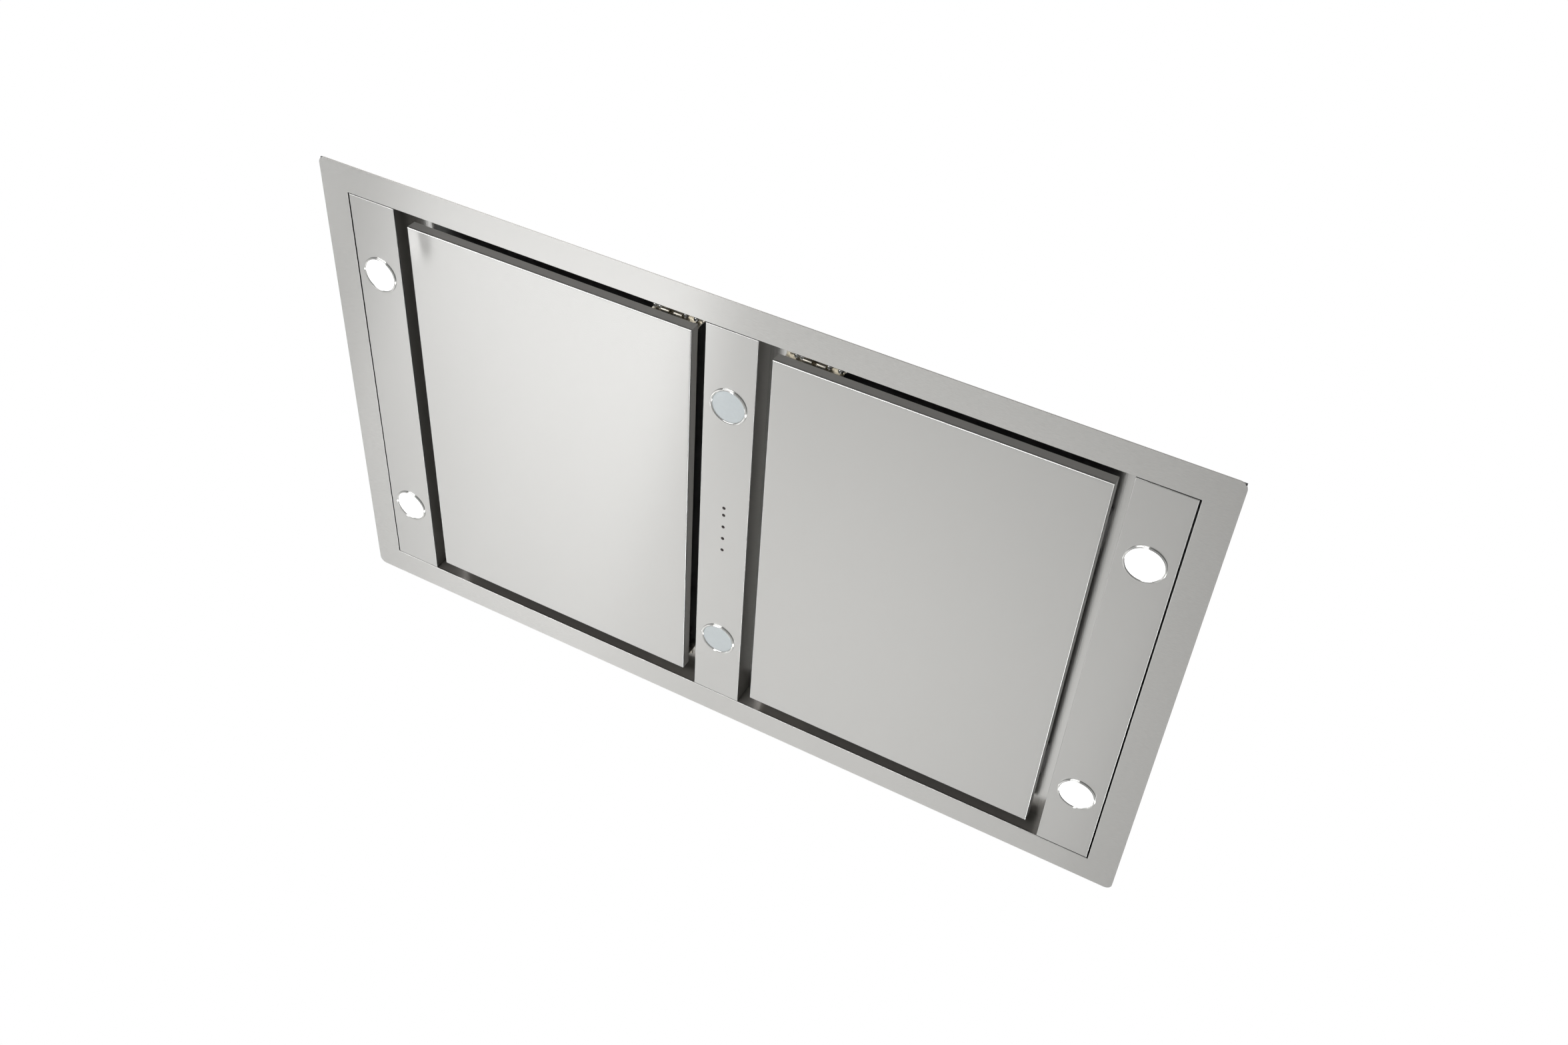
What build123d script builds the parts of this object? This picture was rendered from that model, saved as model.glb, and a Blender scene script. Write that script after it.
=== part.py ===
from build123d import *
import os
from math import cos, radians, sin

# Flush ceiling hood, millimetres, +Z up.
# Origin: centre of the flange's visible underside, so the ceiling line is one sheet above z = 0.
# X runs along the long side, Y across it. The room is below, the housing above.

# ---------------------------------------------------------------- driving sizes
flange_length = 1200.0
flange_width = 700.0
flange_border = 40.0
flange_sheet = 1.5
flange_corner = 10.0

recess_depth = 32.0
collar_sheet = 1.2
fold_round = 0.8

gasket_height = 2.0
gasket_edge = 2.0
gasket_width = 20.0

strip_width = 70.0
strip_sheet = 1.2
strip_lip = 8.0
strip_side_gap = 2.0
strip_end_gap = 1.0

slot_side = 19.0
slot_end = 20.0
panel_sheet = 1.0
panel_depth = 15.5
panel_lip = 12.0
panel_edge_round = 1.5
back_sheet = 0.8
back_inset = 6.0
bead_width = 14.0
bead_height = 1.0
bead_slope_angle = 45.0
bead_end_margin = 70.0
bead_count = 3

ledge_width = 34.0
tray_sheet = 1.0
tray_rim_height = 12.0
tray_joint_gap = 0.5

housing_wall_gap = 0.6
housing_sheet = 1.2
housing_foot = 10.0
housing_foot_height = 44.5
housing_shoulder = 43.0
housing_top_length = 640.0
housing_top_width = 250.0
housing_rim = 18.0
cover_sheet = 1.2
cover_inset = 1.0
cover_bead_length = 150.0
cover_bead_width = 12.0
cover_bead_height = 1.5
cover_bead_slope_angle = 20.0
cover_bead_inset_x = 105.0
cover_bead_inset_y = 55.0
cover_screw_count_x = 5
cover_screw_margin = 45.0
screw_sides = 6
cover_screw_head = 3.6
cover_screw_head_height = 2.2

hanger_inset_x = 22.0
hanger_inset_y = 63.0
hanger_sheet = 2.5
hanger_width = 44.0
hanger_foot = 36.0
hanger_rise = 28.0
hanger_hole = 4.5
hanger_bolt_head = 4.6
hanger_bolt_head_height = 3.0
hanger_bolt_spacing = 24.0

# ---------------------------------------------------------------- hinges and catches
pivot_inset = 8.0
pivot_height = 22.5
pin_radius = 2.5
pin_clearance = 0.05
pin_head_radius = 4.0
pin_head_height = 1.5
pin_head_sides = 8
pin_clip_height = 0.8
knuckle_radius = 5.0
hinge_sheet = 1.5
hinge_web_inset = 8.5
hinge_side_play = 0.5
hinge_flange_width = 9.5
hinge_lip_level = 24.0
hinge_lip_reach = 5.0
hinge_lip_width = 11.0
hinge_notch_width = 7.0
hinge_notch_height = 4.0
hinge_offset_left = 30.4
hinge_offset_right = 37.8
hinge_unit_length = 65.0
hinge_notch_offset = -3.5
hinge_screw_offsets = (-28.5, -21.2, 14.1, 28.5)
hinge_screw_inset = 4.2
leaf_start = 6.0
leaf_length = 30.0
leaf_depth = 24.0

ledge_screw_head = 3.2
ledge_screw_head_height = 2.2
ledge_screw_taper_angle = 25.0

catch_y = 200.0
catch_length = 46.0
catch_width = 12.0
catch_edge_gap = 1.5
catch_ear = 10.0
catch_ear_sheet = 2.0
catch_face_gap = 0.3
striker_length = 56.0
striker_width = 22.0
striker_sheet = 1.0

# ---------------------------------------------------------------- filters
filter_gap = 2.0
filter_depth = 12.0
filter_bar = 22.0
filter_groove = 3.0
filter_lip = 2.0
tongue_width = 40.0
tongue_sheet = 1.5
tongue_reach = 3.0
tongue_y = 150.0
latch_width = 30.0
latch_sheet = 1.5
latch_lift = 0.3
latch_reach = 3.0
latch_tail = 18.0
latch_tab_width = 16.0
latch_tab_sheet = 2.0
latch_tab_drop = 5.0
latch_tab_inset = 10.0
latch_slot_length = 10.0
latch_slot_width = 20.0
rail_width = 2.7
rail_cover = 3.3
spring_sheet = 0.4
spring_height = 7.0
spring_play = 0.3
spring_crown = 2.0

# ---------------------------------------------------------------- lamps and indicators
lamp_y = 200.0
lamp_hole = 22.4
bezel_outer = 25.5
bezel_proud = 2.0
bezel_inner = 20.5
lens_clearance = 0.1
lens_proud = 0.8
lens_sheet = 2.0
lamp_body_radius = 20.2
lamp_body_height = 20.0
lamp_body_sides = 12
clip_sheet = 0.6
clip_seat = 1.0
clip_width = 7.0
clip_reach = 9.0
clip_level = 11.0

dot_radius = 2.0
dot_sides = 12
dot_places = (-38.0, -26.0, -6.0, 14.0, 34.0)
dot_margin = 6.0
dot_bar_width = 8.0
dot_bar_height = 3.8
board_width = 24.0
board_sheet = 1.6
board_margin = 10.0
chip_height = 3.0

# ---------------------------------------------------------------- blower and outlet
outlet_radius = 74.5
outlet_wall = 1.5
outlet_height = 60.0
outlet_flange = 16.0
outlet_flange_sheet = 2.0
flap_level = 14.0
flap_sheet = 1.5
flap_edge_gap = 1.5
flap_split = 5.0
flap_knuckle = 3.6
flap_pin_radius = 2.0
flap_pin_clearance = 0.05
flap_knuckle_length = 45.0
flap_knuckle_gap = 0.5
flap_stop_width = 24.0
flap_stop_reach = 6.0
flap_stop_sheet = 3.0
flap_rest_gap = 0.3

scroll_clearance = 5.4
impeller_radius = 75.0
impeller_blade_depth = 13.0
impeller_half_length = 72.0
impeller_ring = 3.0
impeller_disc = 2.4
blade_count = 24
blade_sheet = 0.9
blade_lean_angle = 24.0
blade_bow_angle = 1.4
hub_radius = 13.0
hub_length = 11.0
shaft_radius = 4.0
shaft_clearance = 0.05
shaft_reach = 34.0
volute_step = 14.0
volute_least = 80.0
volute_cutoff_angle = 40.0
scroll_wall = 2.0
scroll_side_gap = 10.0
inlet_radius = 64.0
scroll_outlet_rise = 92.0
adaptor_height = 30.0
motor_radius = 44.0
motor_length = 58.0
motor_start = 15.0
motor_round = 8.0
motor_arm_width = 14.0
motor_arm_sheet = 3.0
motor_arm_count = 3
motor_arm_overlap = 9.0

strap_sheet = 1.5
strap_width = 34.0
strap_foot = 30.0
mount_side = 18.0
mount_height = 8.0
mount_drop = 20.0

# ---------------------------------------------------------------- electrical boxes
control_length = 150.0
control_width = 110.0
control_height = 42.0
control_gap = 68.0
control_wall = 2.0
control_lid = 2.5
control_margin = 8.0
component_height = 16.0
driver_length = 118.0
driver_width = 46.0
driver_height = 26.0
driver_gap = 28.0
box_bevel = 2.0
terminal_length = 96.0
terminal_width = 66.0
terminal_height = 38.0
terminal_inset = 105.0
terminal_y = 0.0
gland_radius = 9.0
gland_bore = 4.0
gland_length = 24.0
gland_nut = 12.0
gland_nut_length = 6.0

# ---------------------------------------------------------------- sizes worked out
opening_length = flange_length - 2 * flange_border
opening_width = flange_width - 2 * flange_border
tray_outer_x = opening_length / 2 + collar_sheet
tray_width = opening_width + 2 * collar_sheet

strip_length = opening_width - 2 * strip_end_gap
side_strip_x = opening_length / 2 - strip_side_gap - strip_width / 2
recess_near = strip_width / 2
recess_far = side_strip_x - strip_width / 2
recess_centre = (recess_near + recess_far) / 2
recess_span = recess_far - recess_near

panel_length = recess_span - 2 * slot_side
panel_width = opening_width - 2 * slot_end
panel_near = recess_centre - panel_length / 2
panel_end = panel_width / 2
back_top = panel_depth + back_sheet

filter_opening_x = recess_span - 2 * ledge_width
filter_opening_y = opening_width - 2 * ledge_width
filter_edge = recess_centre + filter_opening_x / 2
rim_top = recess_depth + tray_rim_height
filter_x = filter_opening_x - 2 * filter_gap
filter_y = filter_opening_y - 2 * filter_gap
filter_side = recess_centre + filter_x / 2

pivot_x = panel_near + pivot_inset
hinge_unit_centre = {-1: -pivot_x - hinge_offset_left, 1: pivot_x + hinge_offset_right}
web_outer = panel_end - hinge_web_inset
web_inner = web_outer - hinge_sheet
ear_outer = web_inner - hinge_side_play
ear_inner = ear_outer - hinge_sheet
screw_y = web_outer + hinge_screw_inset
flange_level = recess_depth - hinge_sheet

catch_x = filter_edge + catch_edge_gap + catch_width / 2
catch_bottom = back_top + striker_sheet + catch_face_gap
catch_screw_y = catch_y + catch_length / 2 + catch_ear / 2
ear_level = recess_depth - catch_ear_sheet

housing_length = 2 * (tray_outer_x + housing_wall_gap + housing_sheet)
housing_width = tray_width + 2 * (housing_wall_gap + housing_sheet)
shoulder_level = flange_sheet + housing_foot_height
hanger_top = shoulder_level + hanger_rise
hanger_span_x = housing_length - 2 * hanger_inset_x
hanger_span_y = housing_width - 2 * hanger_inset_y
hanger_back = hanger_span_x / 2 - hanger_foot / 2

control_y = housing_width / 2 - control_gap - control_length / 2
driver_y = -(housing_width / 2 - driver_gap - driver_width / 2)

rail_level = rim_top + latch_lift + latch_sheet + latch_lift
filter_top = rail_level + latch_sheet
volute_half = volute_step / 2
volute_largest = volute_least + 3 * volute_step
blower_height = filter_top + scroll_clearance + volute_half + volute_largest - volute_step
cutoff_y = volute_least * cos(radians(volute_cutoff_angle)) - volute_half
cutoff_z = volute_least * sin(radians(volute_cutoff_angle)) + volute_half
scroll_far_y = volute_half + volute_largest
scroll_outlet_y = (cutoff_y + scroll_far_y) / 2
scroll_outlet_width = scroll_far_y - cutoff_y
scroll_half_width = impeller_half_length + scroll_side_gap + scroll_wall
blower_y = -scroll_outlet_y
scroll_top = blower_height + scroll_outlet_rise
housing_height = scroll_top + adaptor_height
cover_top = housing_height + cover_sheet
terminal_x = -(housing_top_length / 2 - terminal_inset)
cover_bead_x = housing_top_length / 2 - cover_bead_inset_x
cover_bead_y = housing_top_width / 2 - cover_bead_inset_y

SIDES = {"left": -1, "right": 1}


def save(piece, name):
    """Label a finished piece and write it as its own file."""
    piece.part.label = name
    export_step(piece.part, f"parts/{name}.step")


def ring_sketch(length, width, rim):
    """A rectangular ring of the given outer size, with its rim turned inwards."""
    Rectangle(length, width)
    Rectangle(length - 2 * rim, width - 2 * rim, mode=Mode.SUBTRACT)


def cover_screw_places():
    """Places of the cover's screws: a row along each long rim and two on each short rim."""
    pitch = (housing_top_length - 2 * cover_screw_margin) / (cover_screw_count_x - 1)
    first = -housing_top_length / 2 + cover_screw_margin
    row = [first + i * pitch for i in range(cover_screw_count_x)]
    edge_y = housing_top_width / 2 - housing_rim / 2
    edge_x = housing_top_length / 2 - housing_rim / 2
    long_rims = [(x, s * edge_y) for x in row for s in (-1, 1)]
    short_rims = [(s * edge_x, t * housing_top_width / 4) for s in (-1, 1) for t in (-1, 1)]
    return long_rims + short_rims


def hanger_bolt_places():
    """Places of the bolts that hold the four hanger brackets to the housing's shoulders."""
    return [
        (s * hanger_span_x / 2, t * hanger_span_y / 2 + u * hanger_bolt_spacing / 2)
        for s in (-1, 1)
        for t in (-1, 1)
        for u in (-1, 1)
    ]


def ledge_screw_places(side):
    """Places of the round-headed screws in one recess ledge: four a hinge, two a catch."""
    hinge = [(hinge_unit_centre[side] + o, t * screw_y) for o in hinge_screw_offsets for t in (-1, 1)]
    catch = [
        (side * catch_x, t * (catch_y + u * (catch_screw_y - catch_y)))
        for t in (-1, 1)
        for u in (-1, 1)
    ]
    return hinge, catch


def make_hopper(low, high):
    """Four flat walls from one rectangle to another, each given by its half sizes and its level."""
    reach = max(low[0], low[1], high[0], high[1])
    with BuildPart() as hopper:
        for plane, axis, way in ((Plane.XZ, 0, Mode.ADD), (Plane.YZ, 1, Mode.INTERSECT)):
            with BuildSketch(plane):
                with BuildLine():
                    Polyline(
                        (-low[axis], low[2]),
                        (low[axis], low[2]),
                        (high[axis], high[2]),
                        (-high[axis], high[2]),
                        close=True,
                    )
                make_face()
            extrude(amount=reach, both=True, mode=way)
    return hopper.part


os.makedirs("parts", exist_ok=True)

# ---------------------------------------------------------------- ceiling frame
# One stainless sheet: a flange that lies on the ceiling, its inner edge folded up as a collar.
with BuildPart() as ceiling_frame:
    with BuildSketch(Plane.XY):
        RectangleRounded(flange_length, flange_width, flange_corner)
        Rectangle(opening_length, opening_width, mode=Mode.SUBTRACT)
    extrude(amount=flange_sheet)
    with BuildSketch(Plane.XY):
        ring_sketch(opening_length + 2 * collar_sheet, opening_width + 2 * collar_sheet, collar_sheet)
    extrude(amount=recess_depth)
    fold = ceiling_frame.faces().sort_by(Axis.Z)[0].inner_wires()[0].edges()
    fillet(fold, fold_round)
save(ceiling_frame, "ceiling_frame")

# A foam seal on the flange's back, which the ceiling rests on.
with BuildPart() as ceiling_gasket:
    with BuildSketch(Plane.XY.offset(flange_sheet)):
        ring_sketch(flange_length - 2 * gasket_edge, flange_width - 2 * gasket_edge, gasket_width)
    extrude(amount=gasket_height)
save(ceiling_gasket, "ceiling_gasket")

# ---------------------------------------------------------------- housing
# A folded body over the frame: a foot box with a shoulder at each end, then walls that lean in.
# The lean keeps the whole body behind the flange when it is seen from the room.
housing_walls = make_hopper(
    (housing_length / 2 - housing_shoulder, housing_width / 2, shoulder_level),
    (housing_top_length / 2, housing_top_width / 2, housing_height),
)
with BuildPart() as housing_shell:
    with BuildSketch(Plane.XY.offset(flange_sheet)):
        Rectangle(housing_length, housing_width)
    extrude(amount=housing_foot_height)
    add(housing_walls)
    ends = housing_shell.faces().sort_by(Axis.Z)
    offset(amount=-housing_sheet, openings=[ends[0], ends[-1]])
    with BuildSketch(Plane.XY.offset(flange_sheet)):
        ring_sketch(
            housing_length + 2 * housing_foot,
            housing_width + 2 * housing_foot,
            housing_foot + housing_sheet,
        )
    extrude(amount=housing_sheet)
    with BuildSketch(Plane.XY.offset(housing_height - housing_sheet)):
        ring_sketch(housing_top_length, housing_top_width, housing_rim)
    extrude(amount=housing_sheet)
save(housing_shell, "housing_shell")

# The cover plate closes the top, stiffened by two beads, with the outlet in its middle.
with BuildPart() as top_cover:
    with BuildSketch(Plane.XY.offset(housing_height)):
        Rectangle(housing_top_length - 2 * cover_inset, housing_top_width - 2 * cover_inset)
    extrude(amount=cover_sheet)
    with BuildSketch(Plane.XY.offset(cover_top)):
        with Locations((cover_bead_x, -cover_bead_y), (cover_bead_x, cover_bead_y)):
            Rectangle(cover_bead_length, cover_bead_width)
    extrude(amount=cover_bead_height, taper=cover_bead_slope_angle)
    with Locations((0, 0, cover_top)):
        Hole(outlet_radius - outlet_wall, depth=2 * cover_sheet)
save(top_cover, "top_cover")

# Fasteners are hexagon heads seated on their sheets; their shanks are left out.
with BuildPart() as cover_screws:
    with BuildSketch(Plane.XY.offset(cover_top)):
        with Locations(*cover_screw_places()):
            RegularPolygon(cover_screw_head, screw_sides)
    extrude(amount=cover_screw_head_height)
save(cover_screws, "cover_screws")

# Four channel brackets on the shoulders take the threaded rods that hold the hood up.
with BuildPart() as hanger_brackets:
    with BuildSketch(Plane.XZ):
        with BuildLine():
            Polyline(
                (hanger_back, shoulder_level),
                (hanger_back + hanger_foot, shoulder_level),
                (hanger_back + hanger_foot, shoulder_level + hanger_sheet),
                (hanger_back + hanger_sheet, shoulder_level + hanger_sheet),
                (hanger_back + hanger_sheet, hanger_top - hanger_sheet),
                (hanger_back + hanger_foot, hanger_top - hanger_sheet),
                (hanger_back + hanger_foot, hanger_top),
                (hanger_back, hanger_top),
                close=True,
            )
        make_face()
    extrude(amount=hanger_width / 2, both=True)
one_hanger = hanger_brackets.part
with BuildPart() as hanger_brackets:
    with Locations((0, hanger_span_y / 2, 0)):
        add(one_hanger)
    mirror(about=Plane.XZ)
    mirror(about=Plane.YZ)
    with Locations((0, 0, hanger_top)):
        with GridLocations(hanger_span_x, hanger_span_y, 2, 2):
            Hole(hanger_hole, depth=2 * hanger_sheet)
save(hanger_brackets, "hanger_brackets")

with BuildPart() as hanger_bolts:
    with BuildSketch(Plane.XY.offset(shoulder_level + hanger_sheet)):
        with Locations(*hanger_bolt_places()):
            RegularPolygon(hanger_bolt_head, screw_sides)
    extrude(amount=hanger_bolt_head_height)
save(hanger_bolts, "hanger_bolts")


# ---------------------------------------------------------------- flush strips
def make_light_strip(x, name, dots=()):
    """A folded channel that hangs flush in the frame, with two lamp holes and any indicator holes."""
    with BuildPart() as strip:
        with BuildSketch(Plane.XY):
            with Locations((x, 0)):
                Rectangle(strip_width, strip_length)
        extrude(amount=recess_depth)
        fillet(strip.faces().sort_by(Axis.Z)[0].edges(), fold_round)
        with BuildSketch(Plane.XY.offset(strip_sheet)):
            with Locations((x, 0)):
                Rectangle(strip_width - 2 * strip_sheet, strip_length - 2 * strip_sheet)
        extrude(amount=recess_depth, mode=Mode.SUBTRACT)
        with BuildSketch(Plane.XY.offset(recess_depth - strip_sheet)):
            with Locations((x, 0)):
                with GridLocations(strip_width - strip_lip, 0, 2, 1):
                    Rectangle(strip_lip, strip_length)
        extrude(amount=strip_sheet)
        with Locations((x, -lamp_y, 0), (x, lamp_y, 0)):
            Hole(lamp_hole, depth=2 * strip_sheet)
        if dots:
            with BuildSketch(Plane.XY):
                with Locations(*[(x, y) for y in dots]):
                    RegularPolygon(dot_radius, dot_sides)
            extrude(amount=strip_sheet, mode=Mode.SUBTRACT)
    save(strip, name)


STRIPS = {"left": -side_strip_x, "centre": 0.0, "right": side_strip_x}
for place, strip_x in STRIPS.items():
    make_light_strip(strip_x, f"light_strip_{place}", dot_places if place == "centre" else ())


# ---------------------------------------------------------------- recess ledges
def make_filter_tray(side, name):
    """The mitred ledge of one recess, its inner edge turned up as a rim round the filter."""
    with BuildPart() as tray:
        with BuildSketch(Plane.XY.offset(recess_depth)):
            with Locations((side * (tray_outer_x + tray_joint_gap / 2) / 2, 0)):
                Rectangle(tray_outer_x - tray_joint_gap / 2, tray_width)
            with Locations((side * recess_centre, 0)):
                Rectangle(filter_opening_x, filter_opening_y, mode=Mode.SUBTRACT)
        extrude(amount=tray_sheet)
        with BuildSketch(Plane.XY.offset(recess_depth)):
            with Locations((side * recess_centre, 0)):
                Rectangle(filter_opening_x + 2 * tray_sheet, filter_opening_y + 2 * tray_sheet)
                Rectangle(filter_opening_x, filter_opening_y, mode=Mode.SUBTRACT)
        extrude(amount=tray_rim_height)
        fillet(tray.faces().sort_by(Axis.Z)[0].inner_wires()[0].edges(), fold_round)
    save(tray, name)


for place, side in SIDES.items():
    make_filter_tray(side, f"filter_tray_{place}")


# ---------------------------------------------------------------- suction panels
def make_panel_skin(side, name):
    """A folded satin tray: flat face, rounded front edge, sides, and a lip turned in at the back."""
    with BuildPart() as skin:
        with BuildSketch(Plane.XY):
            with Locations((side * recess_centre, 0)):
                Rectangle(panel_length, panel_width)
        extrude(amount=panel_depth)
        fillet(skin.faces().sort_by(Axis.Z)[0].edges(), panel_edge_round)
        offset(amount=-panel_sheet, openings=skin.faces().sort_by(Axis.Z)[-1])
        with BuildSketch(Plane.XY.offset(panel_depth - panel_sheet)):
            with Locations((side * recess_centre, 0)):
                ring_sketch(panel_length, panel_width, panel_lip)
        extrude(amount=panel_sheet)
    save(skin, name)


def make_panel_back(side, name):
    """The sheet that closes the panel's back, stiffened by three beads across it."""
    bead_pitch = (panel_width - 2 * bead_end_margin) / bead_count
    with BuildPart() as back:
        with BuildSketch(Plane.XY.offset(panel_depth)):
            with Locations((side * recess_centre, 0)):
                Rectangle(panel_length - 2 * back_inset, panel_width - 2 * back_inset)
        extrude(amount=back_sheet)
        with BuildSketch(Plane.XY.offset(back_top)):
            with Locations((side * recess_centre, 0)):
                with GridLocations(0, bead_pitch, 1, bead_count):
                    Rectangle(panel_length - 2 * bead_end_margin, bead_width)
        extrude(amount=bead_height, taper=bead_slope_angle)
    save(back, name)


def make_striker_plates(side, name):
    """Two galvanised plates on the panel's free edge, where the magnets hold it."""
    striker_far = recess_centre + panel_length / 2 - back_inset
    with BuildPart() as strikers:
        with BuildSketch(Plane.XY.offset(back_top)):
            with Locations((side * (striker_far - striker_width / 2), 0)):
                with GridLocations(0, 2 * catch_y, 1, 2):
                    Rectangle(striker_width, striker_length)
        extrude(amount=striker_sheet)
    save(strikers, name)


for place, side in SIDES.items():
    make_panel_skin(side, f"panel_skin_{place}")
    make_panel_back(side, f"panel_back_{place}")
    make_striker_plates(side, f"striker_plates_{place}")


# ---------------------------------------------------------------- hinges
def make_hinge_brackets(side, name):
    """The fixed plated brackets of one panel: web, knuckle, notched lips and a screwed flange."""
    near = side * pivot_x
    edge = side * (pivot_x - knuckle_radius)
    centre = hinge_unit_centre[side]
    far = centre + side * hinge_unit_length / 2
    notch = centre + hinge_notch_offset
    with BuildPart() as bracket:
        with BuildSketch(Plane.XZ.offset(web_inner)):
            with Locations(((near + far) / 2, (hinge_lip_level + recess_depth) / 2)):
                Rectangle(abs(far - near), recess_depth - hinge_lip_level)
            with Locations((near, (pivot_height + recess_depth) / 2)):
                Rectangle(2 * knuckle_radius, recess_depth - pivot_height)
            with Locations((near, pivot_height)):
                Circle(knuckle_radius)
                Circle(pin_radius, mode=Mode.SUBTRACT)
            with Locations((notch, hinge_lip_level + hinge_notch_height / 2)):
                Rectangle(hinge_notch_width, hinge_notch_height, mode=Mode.SUBTRACT)
        extrude(amount=hinge_sheet)
        with BuildSketch(Plane.XY.offset(flange_level)):
            with Locations(((edge + far) / 2, -(web_inner + hinge_flange_width / 2))):
                Rectangle(abs(far - edge), hinge_flange_width)
        extrude(amount=hinge_sheet)
        with BuildSketch(Plane.XY.offset(hinge_lip_level)):
            with Locations((notch, -(web_inner + (hinge_sheet + hinge_lip_reach) / 2))):
                with GridLocations(hinge_notch_width + hinge_lip_width, 0, 2, 1):
                    Rectangle(hinge_lip_width, hinge_sheet + hinge_lip_reach)
        extrude(amount=hinge_sheet)
        mirror(about=Plane.XZ)
    save(bracket, name)


def make_hinge_leaves(side, name):
    """The two leaves on a panel's back, each with an ear that turns on its pin."""
    near = side * pivot_x
    foot = side * (pivot_x + leaf_start)
    toe = side * (pivot_x + leaf_start + leaf_length)
    with BuildPart() as leaf:
        with BuildSketch(Plane.XZ.offset(ear_inner)):
            with Locations((near, pivot_height)):
                Circle(knuckle_radius)
            with BuildLine():
                Polyline(
                    (near, pivot_height + knuckle_radius),
                    (toe, back_top + hinge_sheet),
                    (toe, back_top),
                    (foot, back_top),
                    (near, pivot_height - knuckle_radius),
                    close=True,
                )
            make_face()
            with Locations((near, pivot_height)):
                Circle(pin_radius + pin_clearance, mode=Mode.SUBTRACT)
        extrude(amount=hinge_sheet)
        with BuildSketch(Plane.XY.offset(back_top)):
            with Locations(((foot + toe) / 2, -(ear_outer - leaf_depth / 2))):
                Rectangle(leaf_length, leaf_depth)
        extrude(amount=hinge_sheet)
        mirror(about=Plane.XZ)
    save(leaf, name)


for place, side in SIDES.items():
    make_hinge_brackets(side, f"hinge_brackets_{place}")
    make_hinge_leaves(side, f"hinge_leaves_{place}")

# Four pins, each riveted in its bracket, with a head outside and a clip inside the ear.
with BuildPart() as hinge_pins:
    with BuildSketch(Plane.XZ.offset(ear_inner - hinge_side_play)):
        with Locations((pivot_x, pivot_height)):
            Circle(pin_radius)
    extrude(amount=web_outer - ear_inner + hinge_side_play)
    with BuildSketch(Plane.XZ.offset(web_outer)):
        with Locations((pivot_x, pivot_height)):
            RegularPolygon(pin_head_radius, pin_head_sides)
    extrude(amount=pin_head_height)
    with BuildSketch(Plane.XZ.offset(ear_inner - hinge_side_play)):
        with Locations((pivot_x, pivot_height)):
            RegularPolygon(pin_head_radius, pin_head_sides)
    extrude(amount=-pin_clip_height)
    mirror(about=Plane.XZ)
    mirror(about=Plane.YZ)
save(hinge_pins, "hinge_pins")

# ---------------------------------------------------------------- catches and ledge screws
with BuildPart() as magnet_catches:
    with BuildSketch(Plane.XY.offset(catch_bottom)):
        with GridLocations(2 * catch_x, 2 * catch_y, 2, 2):
            Rectangle(catch_width, catch_length)
    extrude(amount=recess_depth - catch_bottom)
    with BuildSketch(Plane.XY.offset(ear_level)):
        with GridLocations(2 * catch_x, 2 * catch_y, 2, 2):
            Rectangle(catch_width, catch_length + 2 * catch_ear)
    extrude(amount=catch_ear_sheet)
save(magnet_catches, "magnet_catches")

# Round heads of the ledge's screws, drawn with few sides because there are many.
with BuildPart() as ledge_screws:
    for side in SIDES.values():
        for places, seat in zip(ledge_screw_places(side), (flange_level, ear_level)):
            with BuildSketch(Plane.XY.offset(seat)):
                with Locations(*places):
                    RegularPolygon(ledge_screw_head, screw_sides)
            extrude(amount=-ledge_screw_head_height, taper=ledge_screw_taper_angle)
save(ledge_screws, "ledge_screws")


# ---------------------------------------------------------------- grease filters
def make_filter_frame(side, name):
    """An aluminium frame grooved for its mesh, with two tongues, a latch slot and latch rails."""
    centre = side * recess_centre
    outer = side * filter_side
    slot_far = outer - side * (latch_tab_inset - latch_tab_sheet)
    slot_mid = slot_far - side * latch_slot_length / 2
    rail_y = latch_width / 2 + spring_play + rail_width / 2
    with BuildPart() as frame:
        with BuildSketch(Plane.XY.offset(recess_depth)):
            with Locations((centre, 0)):
                ring_sketch(filter_x, filter_y, filter_bar)
        extrude(amount=filter_depth)
        with BuildSketch(Plane.XY.offset(recess_depth + filter_lip)):
            with Locations((centre, 0)):
                Rectangle(
                    filter_x - 2 * (filter_bar - filter_groove),
                    filter_y - 2 * (filter_bar - filter_groove),
                )
        extrude(amount=filter_depth - 2 * filter_lip, mode=Mode.SUBTRACT)
        with BuildSketch(Plane.XY.offset(recess_depth)):
            with Locations((slot_mid, 0)):
                Rectangle(latch_slot_length, latch_slot_width)
        extrude(amount=filter_depth, mode=Mode.SUBTRACT)
        tongue_near = centre - side * filter_x / 2
        tongue_length = filter_gap + tray_sheet + tongue_reach + filter_bar / 2
        with BuildSketch(Plane.XY.offset(rim_top)):
            with Locations((tongue_near + side * (filter_bar - tongue_length) / 2, 0)):
                with GridLocations(0, 2 * tongue_y, 1, 2):
                    Rectangle(tongue_length, tongue_width)
        extrude(amount=tongue_sheet)
        rail_mid = outer - side * filter_bar / 2
        with BuildSketch(Plane.XY.offset(rim_top)):
            with Locations((rail_mid, 0)):
                with GridLocations(0, 2 * rail_y, 1, 2):
                    Rectangle(filter_bar / 2, rail_width)
        extrude(amount=rail_level - rim_top)
        with BuildSketch(Plane.XY.offset(rail_level)):
            with Locations((rail_mid, 0)):
                with GridLocations(0, 2 * rail_y - rail_cover, 1, 2):
                    Rectangle(filter_bar / 2, rail_width + rail_cover)
        extrude(amount=latch_sheet)
    save(frame, name)


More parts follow.
